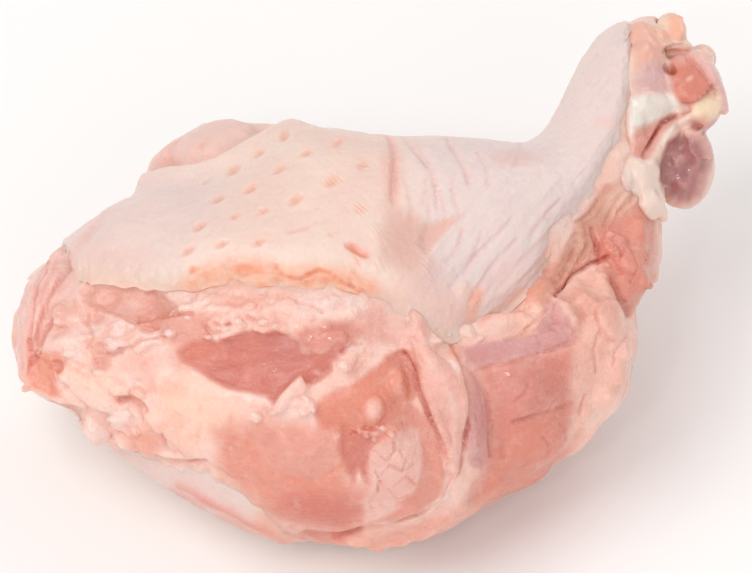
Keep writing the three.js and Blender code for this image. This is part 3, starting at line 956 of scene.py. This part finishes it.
# The line through the flesh that the grid runs round. A station is a place along it, 0 at its first point
# and 1 at its last, and an angle is 0 straight up and grows away from the camera.
MIDDLE = [
    (-30, -3, 14.5), (-22, -4, 16.5), (-9, -8, 18), (5, -9, 18), (15, -4, 18), (22, 6, 19.5),
    (26, 15, 21.5), (28, 24, 24),
]
HEADINGS = (-7, 74)  # which way MIDDLE runs at its two ends, in degrees
RAY_START, RAY_MISSES = 60, 8  # how far from MIDDLE rays start, and where one that meets nothing ends
ROWS, COLUMNS = 400, 212
SKIN_STATIONS = (-0.72, 1.36)
SEEN_BELOW_TO = 0.36  # the station up to which the lower edge shows in front
WIDE_END_TO = -0.1  # the station up to which the skin covers the wide end
EVENED_TO = -0.12  # the station up to which the front edge is drawn out evenly
SKIN_HEIGHT = 1.3  # of its outer side over the bed
SKIN_THICKNESS = 1.0
THIN_SHARE = 0.18  # of that thickness, at the edges
FRONT_ANGLES, UNDER_ANGLES = (60, -150), (150, 300)  # where its two edges are looked for, from and to
# Where it ends underneath, out of sight: stations, and the angle at each
UNDER_EDGE = ((-0.8, -0.3, 0, 0.28, 0.42, 0.7, 1, 1.4), (205, 226, 240, 242, 222, 205, 195, 190))

# The part of the frame that skin covers, and the part below where it shows again, as outlines
SKIN_SEEN = [
    (-60, 110), (60, 160), (102, 190), (84, 212), (66, 238), (54, 258), (60, 270), (80, 280), (95, 284),
    (122, 286), (148, 289), (168, 294), (196, 286), (215, 280), (240, 283), (268, 280), (300, 286),
    (332, 283), (360, 290), (384, 300), (410, 318), (435, 334), (460, 337), (490, 325), (515, 305),
    (532, 289), (546, 267), (560, 248), (580, 215), (600, 189), (620, 155), (632, 130), (638, 100),
    (641, 60), (643, -60), (-60, -60),
]
UNDER_SEEN = [
    (60, 430), (98, 446), (135, 460), (165, 466), (200, 470), (226, 482), (252, 500), (272, 518),
    (286, 532), (296, 548), (300, 620), (20, 620), (20, 430),
]
PORE_ROWS, PORES_IN_ROW = 14, 26  # of those out of sight
PORE_SPACE = 3.1  # at least, from one of them to the next

# Feather pores that the camera sees: place and size
PORES = [
    (285, 139, 1.0), (259, 155, 1.0), (306, 154, 1.0), (339, 142, 1.0), (234, 171, 1.1), (279, 171, 1.0),
    (250, 189, 1.2), (332, 181, 1.3), (364, 165, 1.1), (218, 198, 1.1), (296, 200, 1.2), (234, 217, 0.9),
    (264, 212, 0.9), (201, 227, 1.2), (361, 210, 0.9), (189, 251, 1.1), (221, 245, 0.9), (259, 242, 1.0),
    (332, 234, 0.6), (202, 146, 0.8), (182, 167, 0.6), (205, 182, 0.6), (92, 226, 0.5), (318, 208, 0.5),
]


def ray_at(station, angle):
    """Where a ray leaves the middle of the flesh, and which way it runs."""
    held = min(max(station, 0), 1)
    tip = (station - held) * math.pi / 2
    reach = held * (len(MIDDLE) - 1)
    steps = range(len(MIDDLE))
    start = Vector([np.interp(reach, steps, [p[axis] for p in MIDDLE]) for axis in range(3)]) + CAD_SHIFT
    heading = math.radians(HEADINGS[0] + (HEADINGS[1] - HEADINGS[0]) * held * held * (3 - 2 * held))
    along = Vector((math.cos(heading), math.sin(heading), 0))
    away = Vector((-along.y, along.x, 0))
    turn = math.radians(angle)
    ray = Vector((0, 0, 1)) * math.cos(turn) + away * math.sin(turn)
    return start, ray * math.cos(tip) + along * math.sin(tip)


def surface_at(tree, station, angle):
    start, ray = ray_at(station, angle)
    place, normal, _, _ = tree.ray_cast(start + ray * RAY_START, -ray)
    return (place, normal) if place else (start + ray * RAY_MISSES, ray)


def within(outline, x, y):
    inside = False
    for (ax, ay), (bx, by) in zip(outline, outline[1:] + outline[:1]):
        if (ay > y) != (by > y) and x < (bx - ax) * (y - ay) / (by - ay) + ax:
            inside = not inside
    return inside


def last_angle(tree, station, angles, covered):
    """The last of the angles up to which the skin runs without a break."""
    last = angles[0]
    for angle in angles:
        place, normal = surface_at(tree, station, angle)
        x, y, _ = seen(np.array([place + normal * SKIN_HEIGHT]))
        if not covered(x[0], y[0], normal):
            break
        last = angle
    return last


def evened(values, times):
    for _ in range(times):
        padded = np.concatenate(([values[0]], values, [values[-1]]))
        values = (padded[:-2] + padded[1:-1] + padded[2:]) / 3
    return values


stations = np.linspace(*SKIN_STATIONS, ROWS + 1)
front_edge, under_edge = [], []
for station in stations:
    front_edge.append(last_angle(
        skin_bed_tree, station, np.arange(*FRONT_ANGLES, -1.0),
        lambda x, y, normal: within(SKIN_SEEN, x, y),
    ))
    table_edge = np.interp(station, *UNDER_EDGE)
    if station < SEEN_BELOW_TO:
        table_edge = last_angle(
            skin_bed_tree, station, np.arange(*UNDER_ANGLES, 1.0),
            lambda x, y, normal: normal.dot(TOWARDS) < 0.02 or within(UNDER_SEEN, x, y),
        )
    if station < WIDE_END_TO:
        table_edge = min(table_edge, np.interp(station, *UNDER_EDGE) - 4)
    under_edge.append(table_edge)
front_edge = evened(np.array(front_edge, float), 6)
front_edge = np.where(stations < EVENED_TO, evened(front_edge, 400), front_edge)
front_edge = evened(front_edge, 12)
under_edge = evened(np.array(under_edge, float), 6)

deselect()
bpy.ops.mesh.primitive_grid_add(x_subdivisions=ROWS, y_subdivisions=COLUMNS, size=2)
skin = bpy.context.object
skin.name = skin.data.name = "pored_skin"
flat = np.empty(len(skin.data.vertices) * 3)
skin.data.vertices.foreach_get("co", flat)
grid = flat.reshape(-1, 3)
run_of = (grid[:, 0] + 1) / 2
round_of = (grid[:, 1] + 1) / 2
crowded = round_of**1.55
station_of = SKIN_STATIONS[0] + run_of * (SKIN_STATIONS[1] - SKIN_STATIONS[0])
first, last = np.interp(station_of, stations, front_edge), np.interp(station_of, stations, under_edge)
frayed = np.array([noise.fractal(Vector((s * 26, 0, 3)), 0.8, 2.1, 3) for s in station_of])
first = first + frayed * 2.2
angle_of = first + (last - first) * crowded
margin = smooth(0, 0.07, crowded) * smooth(0, 0.05, 1 - crowded) * smooth(0, 0.012, run_of)
bed = [surface_at(skin_bed_tree, station, angle) for station, angle in zip(station_of, angle_of)]
bed_places = np.array([place for place, _ in bed])
bed_normals = np.array([normal for _, normal in bed])
across, _, _ = seen(bed_places)
lip = 0.4 - 0.5 * smooth(185, 230, across) + 0.25 * smooth(560, 590, across)
lip = np.where(round_of < 0.5, lip, -0.15) - 0.5 * smooth(72, 50, across)
height_of = lip + (SKIN_HEIGHT - lip) * margin
places = bed_places + bed_normals * height_of[:, None]
skin.data.vertices.foreach_set("co", places.ravel())
skin.data.update()
outward = sum(face.normal.dot(Vector(bed_normals[face.vertices[0]])) for face in skin.data.polygons)
if outward < 0:
    skin.data.flip_normals()
finish_modifier(skin, "SMOOTH", factor=0.5, iterations=3)

carve = Carving(skin, wander=2.0)

# Thinner greyish skin at the left and tight white skin at the elbow, warmer and thicker between
carve.region(
    [(60, 262), (60, 225), (110, 185), (180, 160), (232, 172), (222, 205), (200, 245), (180, 268),
     (120, 276)],
    36, lilac=0.5,
)
carve.region(
    [(425, 225), (400, 150), (440, 120), (530, 120), (600, 20), (660, 0), (660, 100), (610, 200),
     (545, 285), (490, 330), (440, 332), (420, 292), (430, 262)],
    34, white=0.75,
)
carve.region(
    [(60, 262), (100, 274), (170, 285), (190, 262), (215, 276), (190, 300), (100, 290), (60, 280)],
    14, cream=0.6, lilac=0,
)
carve.region(
    [(383, 203), (410, 214), (424, 225), (420, 250), (426, 268), (405, 275), (383, 257)],
    14, tan=0.4, pink=0.2, white=0,
)
carve.swell(392, 305, 40, 26, -30, tan=0.3, pink=0.25, white=0)

# The fold behind the crest, and the double edge of the skin at its left
crest = [(138, 181), (160, 175), (182, 170), (217, 163), (242, 148), (267, 134), (292, 125), (312, 121)]
carve.groove(crest, 11, lift=1.0)
# Just behind the crest the groove is tinted pink and tan as painted shadow in the fold
carve.groove([(x - 1, y - 9) for x, y in crest], 5, lift=-2.2, pink=0.35, tan=0.3)
carve.region(
    [(138, 176), (150, 160), (168, 143), (190, 127), (215, 116), (300, 112), (312, 117), (292, 121),
     (267, 130), (242, 144), (217, 159), (180, 166)],
    7, pink=0.25, lilac=0.25,
)
carve.groove([(140, 178), (153, 160), (169, 145), (189, 130), (206, 121)], 5, lift=0.5, orange=0.6)
carve.groove([(158, 172), (171, 155), (186, 141), (201, 131)], 1.8, lift=-0.5, pink=0.5)
carve.groove([(112, 200), (97, 222), (78, 246), (64, 266)], 6, pink=0.45)

# Upright folds where the skin turns the corner, and finer ones below them
carve.swell(390, 176, 16, 44, 0, pink=0.5)
carve.groove([(390, 134), (394, 152), (395, 174), (391, 200)], 3.4, lift=-0.7, pink=0.6)
carve.groove(
    [(404, 135), (412, 148), (421, 158), (430, 168), (434, 183), (436, 206)],
    2.7, lift=-0.4, pink=0.35,
)
carve.groove([(446, 136), (455, 152), (463, 166), (468, 183)], 2.6, lift=-0.4, pink=0.35)
for fold in (
    [(416, 140), (424, 160), (425, 185), (421, 205)],
    [(401, 150), (404, 175), (409, 200), (412, 222)],
    [(428, 190), (427, 205), (431, 222)],
    [(440, 190), (444, 208), (445, 222)],
    [(452, 175), (453, 195), (458, 212)],
    [(478, 150), (486, 168), (487, 186)],
    [(520, 135), (521, 150), (517, 163)],
    [(289, 231), (305, 227), (316, 221), (330, 219)],
):
    carve.groove(fold, 2.4, lift=-0.2, pink=0.25)
carve.region(
    [(424, 225), (462, 214), (442, 236), (426, 257), (418, 246)],
    4, lift=-0.3, pink=0.45, tan=0.2, white=0,
)
carve.groove([(461, 214), (443, 235), (428, 256), (425, 272)], 3, lift=0.35, white=0.9)

# Long slanting streaks where it is stretched towards the elbow
sideways = (carve.x * 0.78 + carve.y * 0.62) * SEEN_STEP
lengthways = (carve.y * 0.78 - carve.x * 0.62) * SEEN_STEP
streaks = clouds(np.stack((sideways / 0.75, lengthways / 9, carve.places[:, 2] * 0), 1), 1.0, 2, 11)
carve.lift += 0.09 * streaks * carve.tint("white")
carve.tint("lilac")[:] += carve.tint("white") * 0.4 * smooth(0.05, 0.45, -streaks)
for streak in (
    [(497, 291), (520, 262), (540, 241), (556, 224)],
    [(470, 303), (490, 270), (517, 239)],
    [(452, 287), (470, 262), (492, 238)],
    [(508, 308), (530, 281), (546, 262)],
    [(478, 255), (500, 232), (512, 220)],
    [(466, 275), (476, 252), (480, 232)],
    [(520, 282), (538, 262), (550, 246)],
    [(448, 262), (458, 246), (462, 230)],
    [(530, 236), (548, 212), (560, 200)],
):
    carve.groove(streak, 2.2, lift=-0.2, lilac=0.5, pink=0.25)
# Lilac along the skin's edge on the narrow end is painted shade
carve.groove([(634, 124), (620, 144), (602, 166)], 9, lilac=0.75, lift=-0.2)
carve.groove([(592, 177), (572, 200), (560, 220)], 8, lilac=0.5)
carve.groove([(559, 258), (546, 275), (530, 292)], 4.5, orange=0.75, lift=-0.2)
carve.groove([(524, 290), (508, 303), (492, 318)], 4, orange=0.6, pink=0.3, lift=-0.2)
carve.groove([(478, 300), (470, 315), (476, 328)], 4, orange=0.5, pink=0.3)
carve.swell(464, 291, 11, 13, 20, lift=0.4, cream=0.9, white=0)
carve.swell(512, 158, 34, 12, 0, pink=0.3)
carve.swell(606, 121, 18, 8, 0, orange=0.2)
carve.swell(635, 40, 12, 22, 0, orange=0.35, white=0.2)

# The torn edge in front, stained orange by the fat under it
carve.region(
    [(172, 290), (196, 270), (230, 258), (262, 262), (290, 267), (320, 266), (350, 272), (376, 283),
     (384, 306), (330, 310), (196, 306)],
    14, orange=0.72, cream=0.5,
)
torn = smooth(0.2, 0.6, carve.tint("orange"))
crumbs = 0.3 * clouds(carve.places, 1.5, 2, 12) + 0.25 * (ridges(carve.places, 1.7, 2) - 0.5)
carve.lift += torn * carve.front * crumbs
carve.groove(
    [(274, 266), (283, 277), (300, 279), (318, 270), (330, 273), (345, 284), (353, 286)],
    2.2, lift=-0.5, orange=1, blood=0.35,
)
for stain in (
    (243, 270, 15, 8), (196, 286, 7, 8), (222, 289, 10, 5), (291, 290, 11, 5), (263, 287, 8, 5),
    (193, 270, 6, 6), (231, 281, 8, 6), (258, 271, 9, 5), (276, 281, 8, 5), (307, 283, 10, 5),
    (327, 281, 9, 5), (341, 291, 9, 5), (361, 293, 8, 5),
):
    carve.swell(*stain, orange=1, blood=0.12, lift=-0.2)
carve.groove([(350, 247), (358, 251), (364, 254)], 4, lift=-0.6, orange=1, blood=0.4)
carve.groove([(357, 258), (356, 270), (351, 282)], 2.4, lift=-0.3, orange=0.6)
carve.groove([(372, 232), (378, 252), (376, 270)], 5, lift=0.3, cream=0.6)

# Pores lean the way that the feathers lay: a pit with a raised lip. Those out of sight stand in rows.
for x, y, size in PORES:
    carve.swell(x, y, 13 * size, 9 * size, 35, lift=0.12 * size, cream=0.3)
    carve.swell(x, y, 9 * size, 4.2 * size, 35, lift=-0.4 * size, pore=0.6 * min(size, 1))
pits = []
for row in range(PORE_ROWS):
    for place_in_row in range(PORES_IN_ROW):
        station = -0.45 + place_in_row * 0.065 + (row % 2) * 0.03
        angle = 40 + row * 13 + 5 * math.sin(station * 31 + row)
        centre, _ = surface_at(skin_bed_tree, station, angle)
        if all((centre - other).length > PORE_SPACE for other in pits):
            pits.append(centre)
for centre in pits:
    reach = np.linalg.norm(carve.places - np.array(centre), axis=1) - SKIN_HEIGHT + 0.1
    reach = np.clip(reach, 0, None) * (1 + 9 * smooth(0.0, 0.3, carve.front))
    pit = np.exp(-((reach / 0.4) ** 2)) * (1 - carve.front)
    carve.lift += 0.15 * np.exp(-((reach / 1.1) ** 2)) * (1 - carve.front) - 0.45 * pit
    carve.tint("pore")[:] = np.maximum(carve.tint("pore"), pit * 0.36)
carve.lift += (1 - carve.front) * 0.2 * clouds(carve.places * np.array((1, 0.5, 0.5)), 4, 2, 19)

# The lower edge curls and darkens
carve.groove(
    [(150, 489), (175, 492), (198, 500), (222, 512), (250, 525), (282, 541)],
    4, lilac=0.6, blood=0.35,
)
carve.region(
    [(110, 448), (165, 466), (200, 470), (226, 482), (252, 500), (278, 522), (250, 520), (200, 495),
     (150, 482)],
    9, lilac=0.5, pink=0.12,
)

# All over it is a little uneven, and in patches pinker or more tan
carve.lift += 0.25 * clouds(carve.places, 8, 2, 13) + 0.06 * clouds(carve.places, 1.3, 2, 14)
carve.swell(115, 262, 60, 24, 0, pink=0.28)
carve.swell(402, 240, 30, 36, 0, tan=0.7)
carve.swell(352, 190, 44, 56, 0, pink=0.12)
carve.swell(448, 312, 40, 34, 0, pink=0.38, cream=0, white=0.2)
carve.swell(424, 286, 34, 38, 0, pink=0.34)
carve.groove([(480, 292), (474, 306), (472, 322)], 6, orange=0.6, pink=0.5)
carve.swell(500, 285, 52, 28, 45, pink=0.22)

# The lower corner is flushed, and strands of pink run along it
carve.region(
    [(256, 512), (270, 503), (304, 524), (312, 552), (280, 550), (256, 534)],
    12, pink=0.5, orange=0.25, lilac=0,
)
carve.region([(110, 448), (165, 466), (200, 470), (210, 500), (150, 482)], 8, pink=0.16)
for strand in (
    [(150, 488), (170, 490), (188, 498), (206, 506)],
    [(176, 484), (196, 492), (216, 504), (236, 512)],
    [(200, 496), (222, 506), (246, 520), (268, 532)],
    [(214, 514), (240, 526), (262, 540), (286, 546)],
):
    carve.groove(strand, 3, lift=0.4, pink=0.9, blood=0.45)

# The far flap stands up a little at the outline
carve.edge([(150, 158), (172, 140), (196, 128), (228, 123)], 15, 0.8)

# The thin edges let the fat under them through, and crumple
edge_share = 1 - margin
patchy = np.clip(0.75 + 0.6 * clouds(carve.places, 2.5, 2, 21), 0, 1)
unstained = 1 - 0.85 * np.clip(carve.tint("orange"), 0, 1)
carve.tint("thin")[:] = (1 - smooth(0, 0.035, crowded)) * patchy * unstained
carve.lift += edge_share * 0.2 * clouds(carve.places, 1.6, 2, 15)
carve.finish()
finish_modifier(skin, "SMOOTH", factor=0.5, iterations=1)

# The sheet gets its thickness, thin at the edges, and its hidden inner side is kept coarse
thick = skin.vertex_groups.new(name="thick")
for index, share in enumerate(THIN_SHARE + (1 - THIN_SHARE) * margin):
    thick.add([index], share, "REPLACE")
outer_count = len(skin.data.vertices)
finish_modifier(
    skin, "SOLIDIFY", thickness=SKIN_THICKNESS, offset=-1,
    vertex_group="thick", thickness_vertex_group=THIN_SHARE,
)
inner = skin.vertex_groups.new(name="inner")
inner.add(list(range(outer_count, len(skin.data.vertices))), 1.0, "REPLACE")
finish_modifier(skin, "DECIMATE", ratio=0.56, vertex_group="inner", vertex_group_factor=1.0)

# The flesh that the skin covers or that lies in the bone's channel stays coarse, as nothing shows of it
skin_tree = tree_of(skin)
covered = flesh.vertex_groups.new(name="covered")
for vertex in flesh.data.vertices:
    start = vertex.co - vertex.normal * 0.5
    over = skin_tree.ray_cast(start, vertex.normal, 3.5)[0]
    into = flesh_tree.find_nearest(vertex.co)[3]
    if over is not None or into > 2.5:
        covered.add([vertex.index], 1.0, "REPLACE")
finish_modifier(flesh, "DECIMATE", ratio=0.58, vertex_group="covered", vertex_group_factor=1.0)
take_place(flesh, "flesh")

moist = Finish(
    "raw_skin", subsurface_weight=0.35, subsurface_radius=(1.0, 0.4, 0.28), subsurface_scale=0.002,
    specular_ior_level=0.45, coat_roughness=0.2,
)
broad = moist.noise(120, 2)
fine = moist.noise(700, 3)
colour = moist.mix(broad.between(0.35, 0.65), shade(243, 213, 200), shade(237, 204, 192))
colour = moist.mix(moist.tint("cream"), colour, shade(247, 208, 190))
colour = moist.mix(moist.tint("white"), colour, shade(230, 210, 208))
colour = moist.mix(moist.tint("lilac"), colour, shade(225, 202, 201))
colour = moist.mix(moist.tint("tan"), colour, shade(211, 165, 150))
colour = moist.mix(moist.tint("pink"), colour, shade(232, 162, 150))
colour = moist.mix(moist.tint("orange") * fine.between(0.3, 0.6, 0.6, 1.0), colour, shade(255, 158, 118))
colour = moist.mix(moist.tint("thin"), colour, shade(242, 192, 174))
colour = moist.mix(moist.tint("pore"), colour, shade(234, 158, 130))
colour = moist.mix(moist.tint("blood"), colour, shade(206, 104, 90))
speckled = moist.noise(1500, 4, 0.7)
colour = moist.mix(speckled.between(0.52, 0.72, 0.0, 0.12), colour, shade(252, 230, 218))
colour = moist.mix(speckled.between(0.48, 0.28, 0.0, 0.12), colour, shade(222, 168, 156))
wrinkles = moist.node("TexVoronoi", {"feature": "SMOOTH_F1"}, {"Vector": moist.object, "Scale": 1400.0})
moist.feed(
    base_color=colour,
    roughness=fine.between(0.3, 0.7, 0.4, 0.56),
    coat_weight=broad.between(0.42, 0.6, 0.1, 0.4),
    normal=moist.bump(fine * 0.5 + wrinkles * 0.4 + speckled * 0.25, 0.00024),
)
skin.data.materials.append(moist.material)
take_place(skin, "skin")

# ---- The knuckle ----
# The elbow end of the arm bone, where the lower wing was cut away: two rounded condyles capped with
# cartilage, a nub and a spur behind them, with scraps of meat, fat and torn capsule still on them. Its
# shaft runs on inside the flesh.

KNUCKLE_VOXEL = 0.24
knuckle = copy_of_node("humerus", "knuckle")
elbow_tree = tree_of(join([copy_of_node("flesh", "bed"), copy_of_node("humerus", "bed_bone")], "bed"))
bpy.data.objects.remove(bpy.context.object)

# What lies on the two condyles: where it is seen, half its length, width and height, and its turn
SCRAPS = [
    (646, 38, 2.7, 2.5, 1.2, 60), (652, 62, 2.7, 2.3, 1.2, 0), (654, 86, 2.8, 2.2, 1.1, 0),
    (650, 106, 3.0, 2.0, 1.6, 6), (652, 128, 2.6, 2.2, 1.1, 30), (644, 150, 2.0, 2.8, 1.1, -20),
    (643, 178, 2.3, 3.0, 1.5, -10), (650, 202, 2.1, 2.0, 1.5, -30), (664, 140, 2.0, 2.6, 1.0, -35),
    (676, 120, 2.4, 1.7, 1.2, 25), (668, 104, 2.0, 1.8, 1.1, 20), (672, 74, 2.0, 2.2, 0.9, 0),
    (674, 54, 2.3, 1.5, 1.1, 0), (690, 78, 2.4, 3.0, 0.6, -30), (704, 110, 2.0, 1.6, 0.9, 20),
    (716, 92, 0.9, 3.2, 0.9, 25), (706, 132, 1.8, 2.4, 0.9, 20), (680, 46, 1.8, 0.7, 0.8, 0),
    (702, 62, 1.6, 1.8, 1.2, 0), (671, 29, 1.7, 1.9, 0.6, 0), (672, 207, 1.9, 0.9, 0.9, -10),
    (660, 176, 1.2, 3.0, 0.8, -8), (630, 172, 1.0, 2.4, 0.9, -12), (638, 72, 1.6, 3.4, 1.0, 0),
    (636, 124, 1.4, 2.6, 1.0, 0),
]
knuckle = join([knuckle, *[add_lump(elbow_tree, *scrap) for scrap in SCRAPS]], "knuckle")
finish_modifier(knuckle, "REMESH", mode="VOXEL", voxel_size=KNUCKLE_VOXEL)
finish_modifier(knuckle, "SMOOTH", factor=0.5, iterations=14)

carve = Carving(knuckle, wander=2.5)
carve.tint("cream")[:] = 0.35

# The top of the upper condyle, peach under cream membrane
carve.region(
    [(650, 30), (660, 15), (680, 12), (688, 22), (690, 38), (675, 42), (652, 40)],
    6, peach=0.85, cream=0.2,
)
carve.swell(662, 24, 12, 12, 0, cream=0.8, peach=0.2)
carve.groove([(664, 46), (672, 43), (684, 42), (690, 46)], 1.8, lift=0.35, cream=0.8, pink=0.2)
carve.groove([(663, 52), (676, 51), (690, 51)], 1.6, lift=-0.5, peach=0.8, blood=0.2)
carve.region(
    [(624, 20), (645, 22), (664, 44), (662, 58), (650, 66), (636, 70), (630, 40)],
    8, peach=0.7, pink=0.35,
)
carve.region([(692, 46), (712, 48), (716, 62), (712, 76), (700, 74), (692, 60)], 6, pink=0.3, cream=0.4)

# Its face, with a scrap of meat in a lilac and pink rim, and the cream nub at its right
carve.region(
    [(640, 66), (652, 60), (668, 66), (674, 82), (672, 95), (640, 95), (634, 84)],
    9, lilac=0.5, pink=0.3, cream=0,
)
carve.region(
    [(672, 56), (686, 54), (700, 62), (712, 82), (711, 97), (698, 106), (685, 108), (675, 96), (671, 78)],
    5, meat=0.95, cream=0, lift=0.2,
)
carve.swell(680, 60, 14, 9, 0, pink=0.6, meat=0.4)
carve.swell(690, 80, 7, 4, 30, cream=0.5, meat=0.4)
carve.swell(670, 69, 9, 6.5, -35, lift=-0.7, brown=1)
carve.groove(
    [(694, 53), (704, 66), (714, 80), (722, 95), (725, 112), (722, 120)],
    5, lift=0.4, pink=0.7, lilac=0.4, meat=0,
)
carve.groove([(688, 60), (698, 68), (708, 82), (714, 96)], 2, lift=-0.4, pink=0.6, meat=0.6)
carve.region(
    [(697, 104), (712, 93), (719, 100), (720, 112), (708, 122), (696, 121), (691, 114)],
    5, cream=1, yellow=0.5, meat=0, pink=0,
)

# The white capsule below it, and the bloody gap between the two condyles
carve.region(
    [(630, 96), (672, 93), (679, 105), (673, 115), (655, 121), (641, 131), (628, 134)],
    5, white=1, cream=0, lift=0.1,
)
carve.region(
    [(634, 126), (652, 122), (672, 116), (690, 112), (676, 124), (664, 134), (656, 150), (648, 163),
     (632, 158)],
    5, meat=0.6, pink=0.5, lift=-0.2,
)
carve.groove(
    [(674, 117), (664, 121), (658, 128), (654, 137), (649, 147), (645, 155)],
    2, lift=-0.8, blood=0.85,
)
carve.groove([(688, 111), (682, 114)], 2, lift=-0.5, blood=0.7)
carve.groove(
    [(688, 118), (675, 124), (666, 136), (659, 148), (652, 160)],
    4, lift=0.5, white=0.8, meat=0, pink=0.1,
)

# The lower condyle, and the oval face where its cartilage was cut through
carve.region(
    [(632, 158), (650, 160), (664, 158), (662, 185), (666, 200), (676, 210), (650, 216), (632, 205),
     (624, 180)],
    6, white=0.5, cream=0.6, meat=0, pink=0.3,
)
carve.groove([(622, 164), (624, 180), (630, 198)], 3, lift=0.3, lilac=0.45, pink=0.3, white=0.3)
carve.groove([(631, 164), (634, 182), (640, 200)], 3, lift=-0.3, pink=0.35)
carve.region(
    [(690, 120), (704, 117), (715, 122), (717, 140), (712, 158), (706, 142), (694, 132)],
    6, pink=0.7, meat=0.4, lilac=0.3, cream=0,
)
carve.groove([(712, 118), (704, 124), (697, 132)], 1.6, lift=0.3, cream=0.7)
OVAL = [
    (668, 143), (680, 134), (693, 134), (703, 140), (709, 152), (710, 166), (706, 182), (699, 196),
    (689, 204), (675, 203), (665, 195), (660, 180), (662, 163),
]
carve.groove(OVAL + OVAL[:1], 4, lift=0.45, pink=0.25)
carve.region(OVAL, 5, lift=-0.65, plum=0.9, cream=0, white=0, pink=0, meat=0)
carve.swell(685, 172, 13, 16, -20, lift=-0.3, wine=0.7)
carve.groove([(679, 144), (673, 158), (670, 172), (671, 186)], 2.2, lift=0.1, meat=0.35)
carve.groove([(664, 198), (676, 207), (688, 209), (698, 200)], 3, pink=0.45, cream=0.3, plum=0)

# Out of sight from the camera it is mottled in the same tones
hidden = 1 - carve.front
carve.tint("pink")[:] += hidden * 0.5 * smooth(-0.2, 0.4, clouds(carve.places, 5, 2, 21))
carve.tint("white")[:] += hidden * 0.8 * smooth(0, 0.4, clouds(carve.places, 6, 2, 22))
carve.tint("meat")[:] += hidden * 0.5 * smooth(0.1, 0.5, clouds(carve.places, 5, 2, 23))
carve.lift += 0.12 * clouds(carve.places, 1.8, 2, 24) * (1 - 0.7 * carve.tint("white"))
carve.finish()

gristle = Finish(
    "cartilage_and_scraps", subsurface_weight=0.3, subsurface_radius=(1.0, 0.45, 0.35),
    subsurface_scale=0.0018, specular_ior_level=0.5, coat_roughness=0.1,
)
broad = gristle.noise(260, 2)
fine = gristle.noise(1100, 3)
colour = gristle.mix(broad.between(0.35, 0.65), shade(236, 199, 186), shade(228, 182, 169))
for tint, tone in (
    ("cream", (246, 222, 200)), ("peach", (240, 180, 153)), ("pink", (226, 164, 158)),
    ("white", (235, 225, 215)), ("lilac", (218, 182, 184)), ("meat", (212, 126, 106)),
    ("yellow", (244, 216, 176)), ("plum", (170, 108, 108)), ("wine", (146, 78, 84)),
    ("brown", (176, 84, 40)), ("blood", (172, 62, 50)),
):
    colour = gristle.mix(gristle.tint(tint), colour, shade(*tone))
mottled = fine.between(0.45, 0.7, 0.0, 0.3) * gristle.tint("plum")
gristle.feed(
    base_color=gristle.mix(mottled, colour, shade(214, 156, 142)),
    roughness=fine.between(0.3, 0.7, 0.28, 0.44),
    coat_weight=broad.between(0.4, 0.6, 0.2, 0.6),
    normal=gristle.bump(fine, 0.00018),
)
knuckle.data.materials.append(gristle.material)
take_place(knuckle, "humerus")
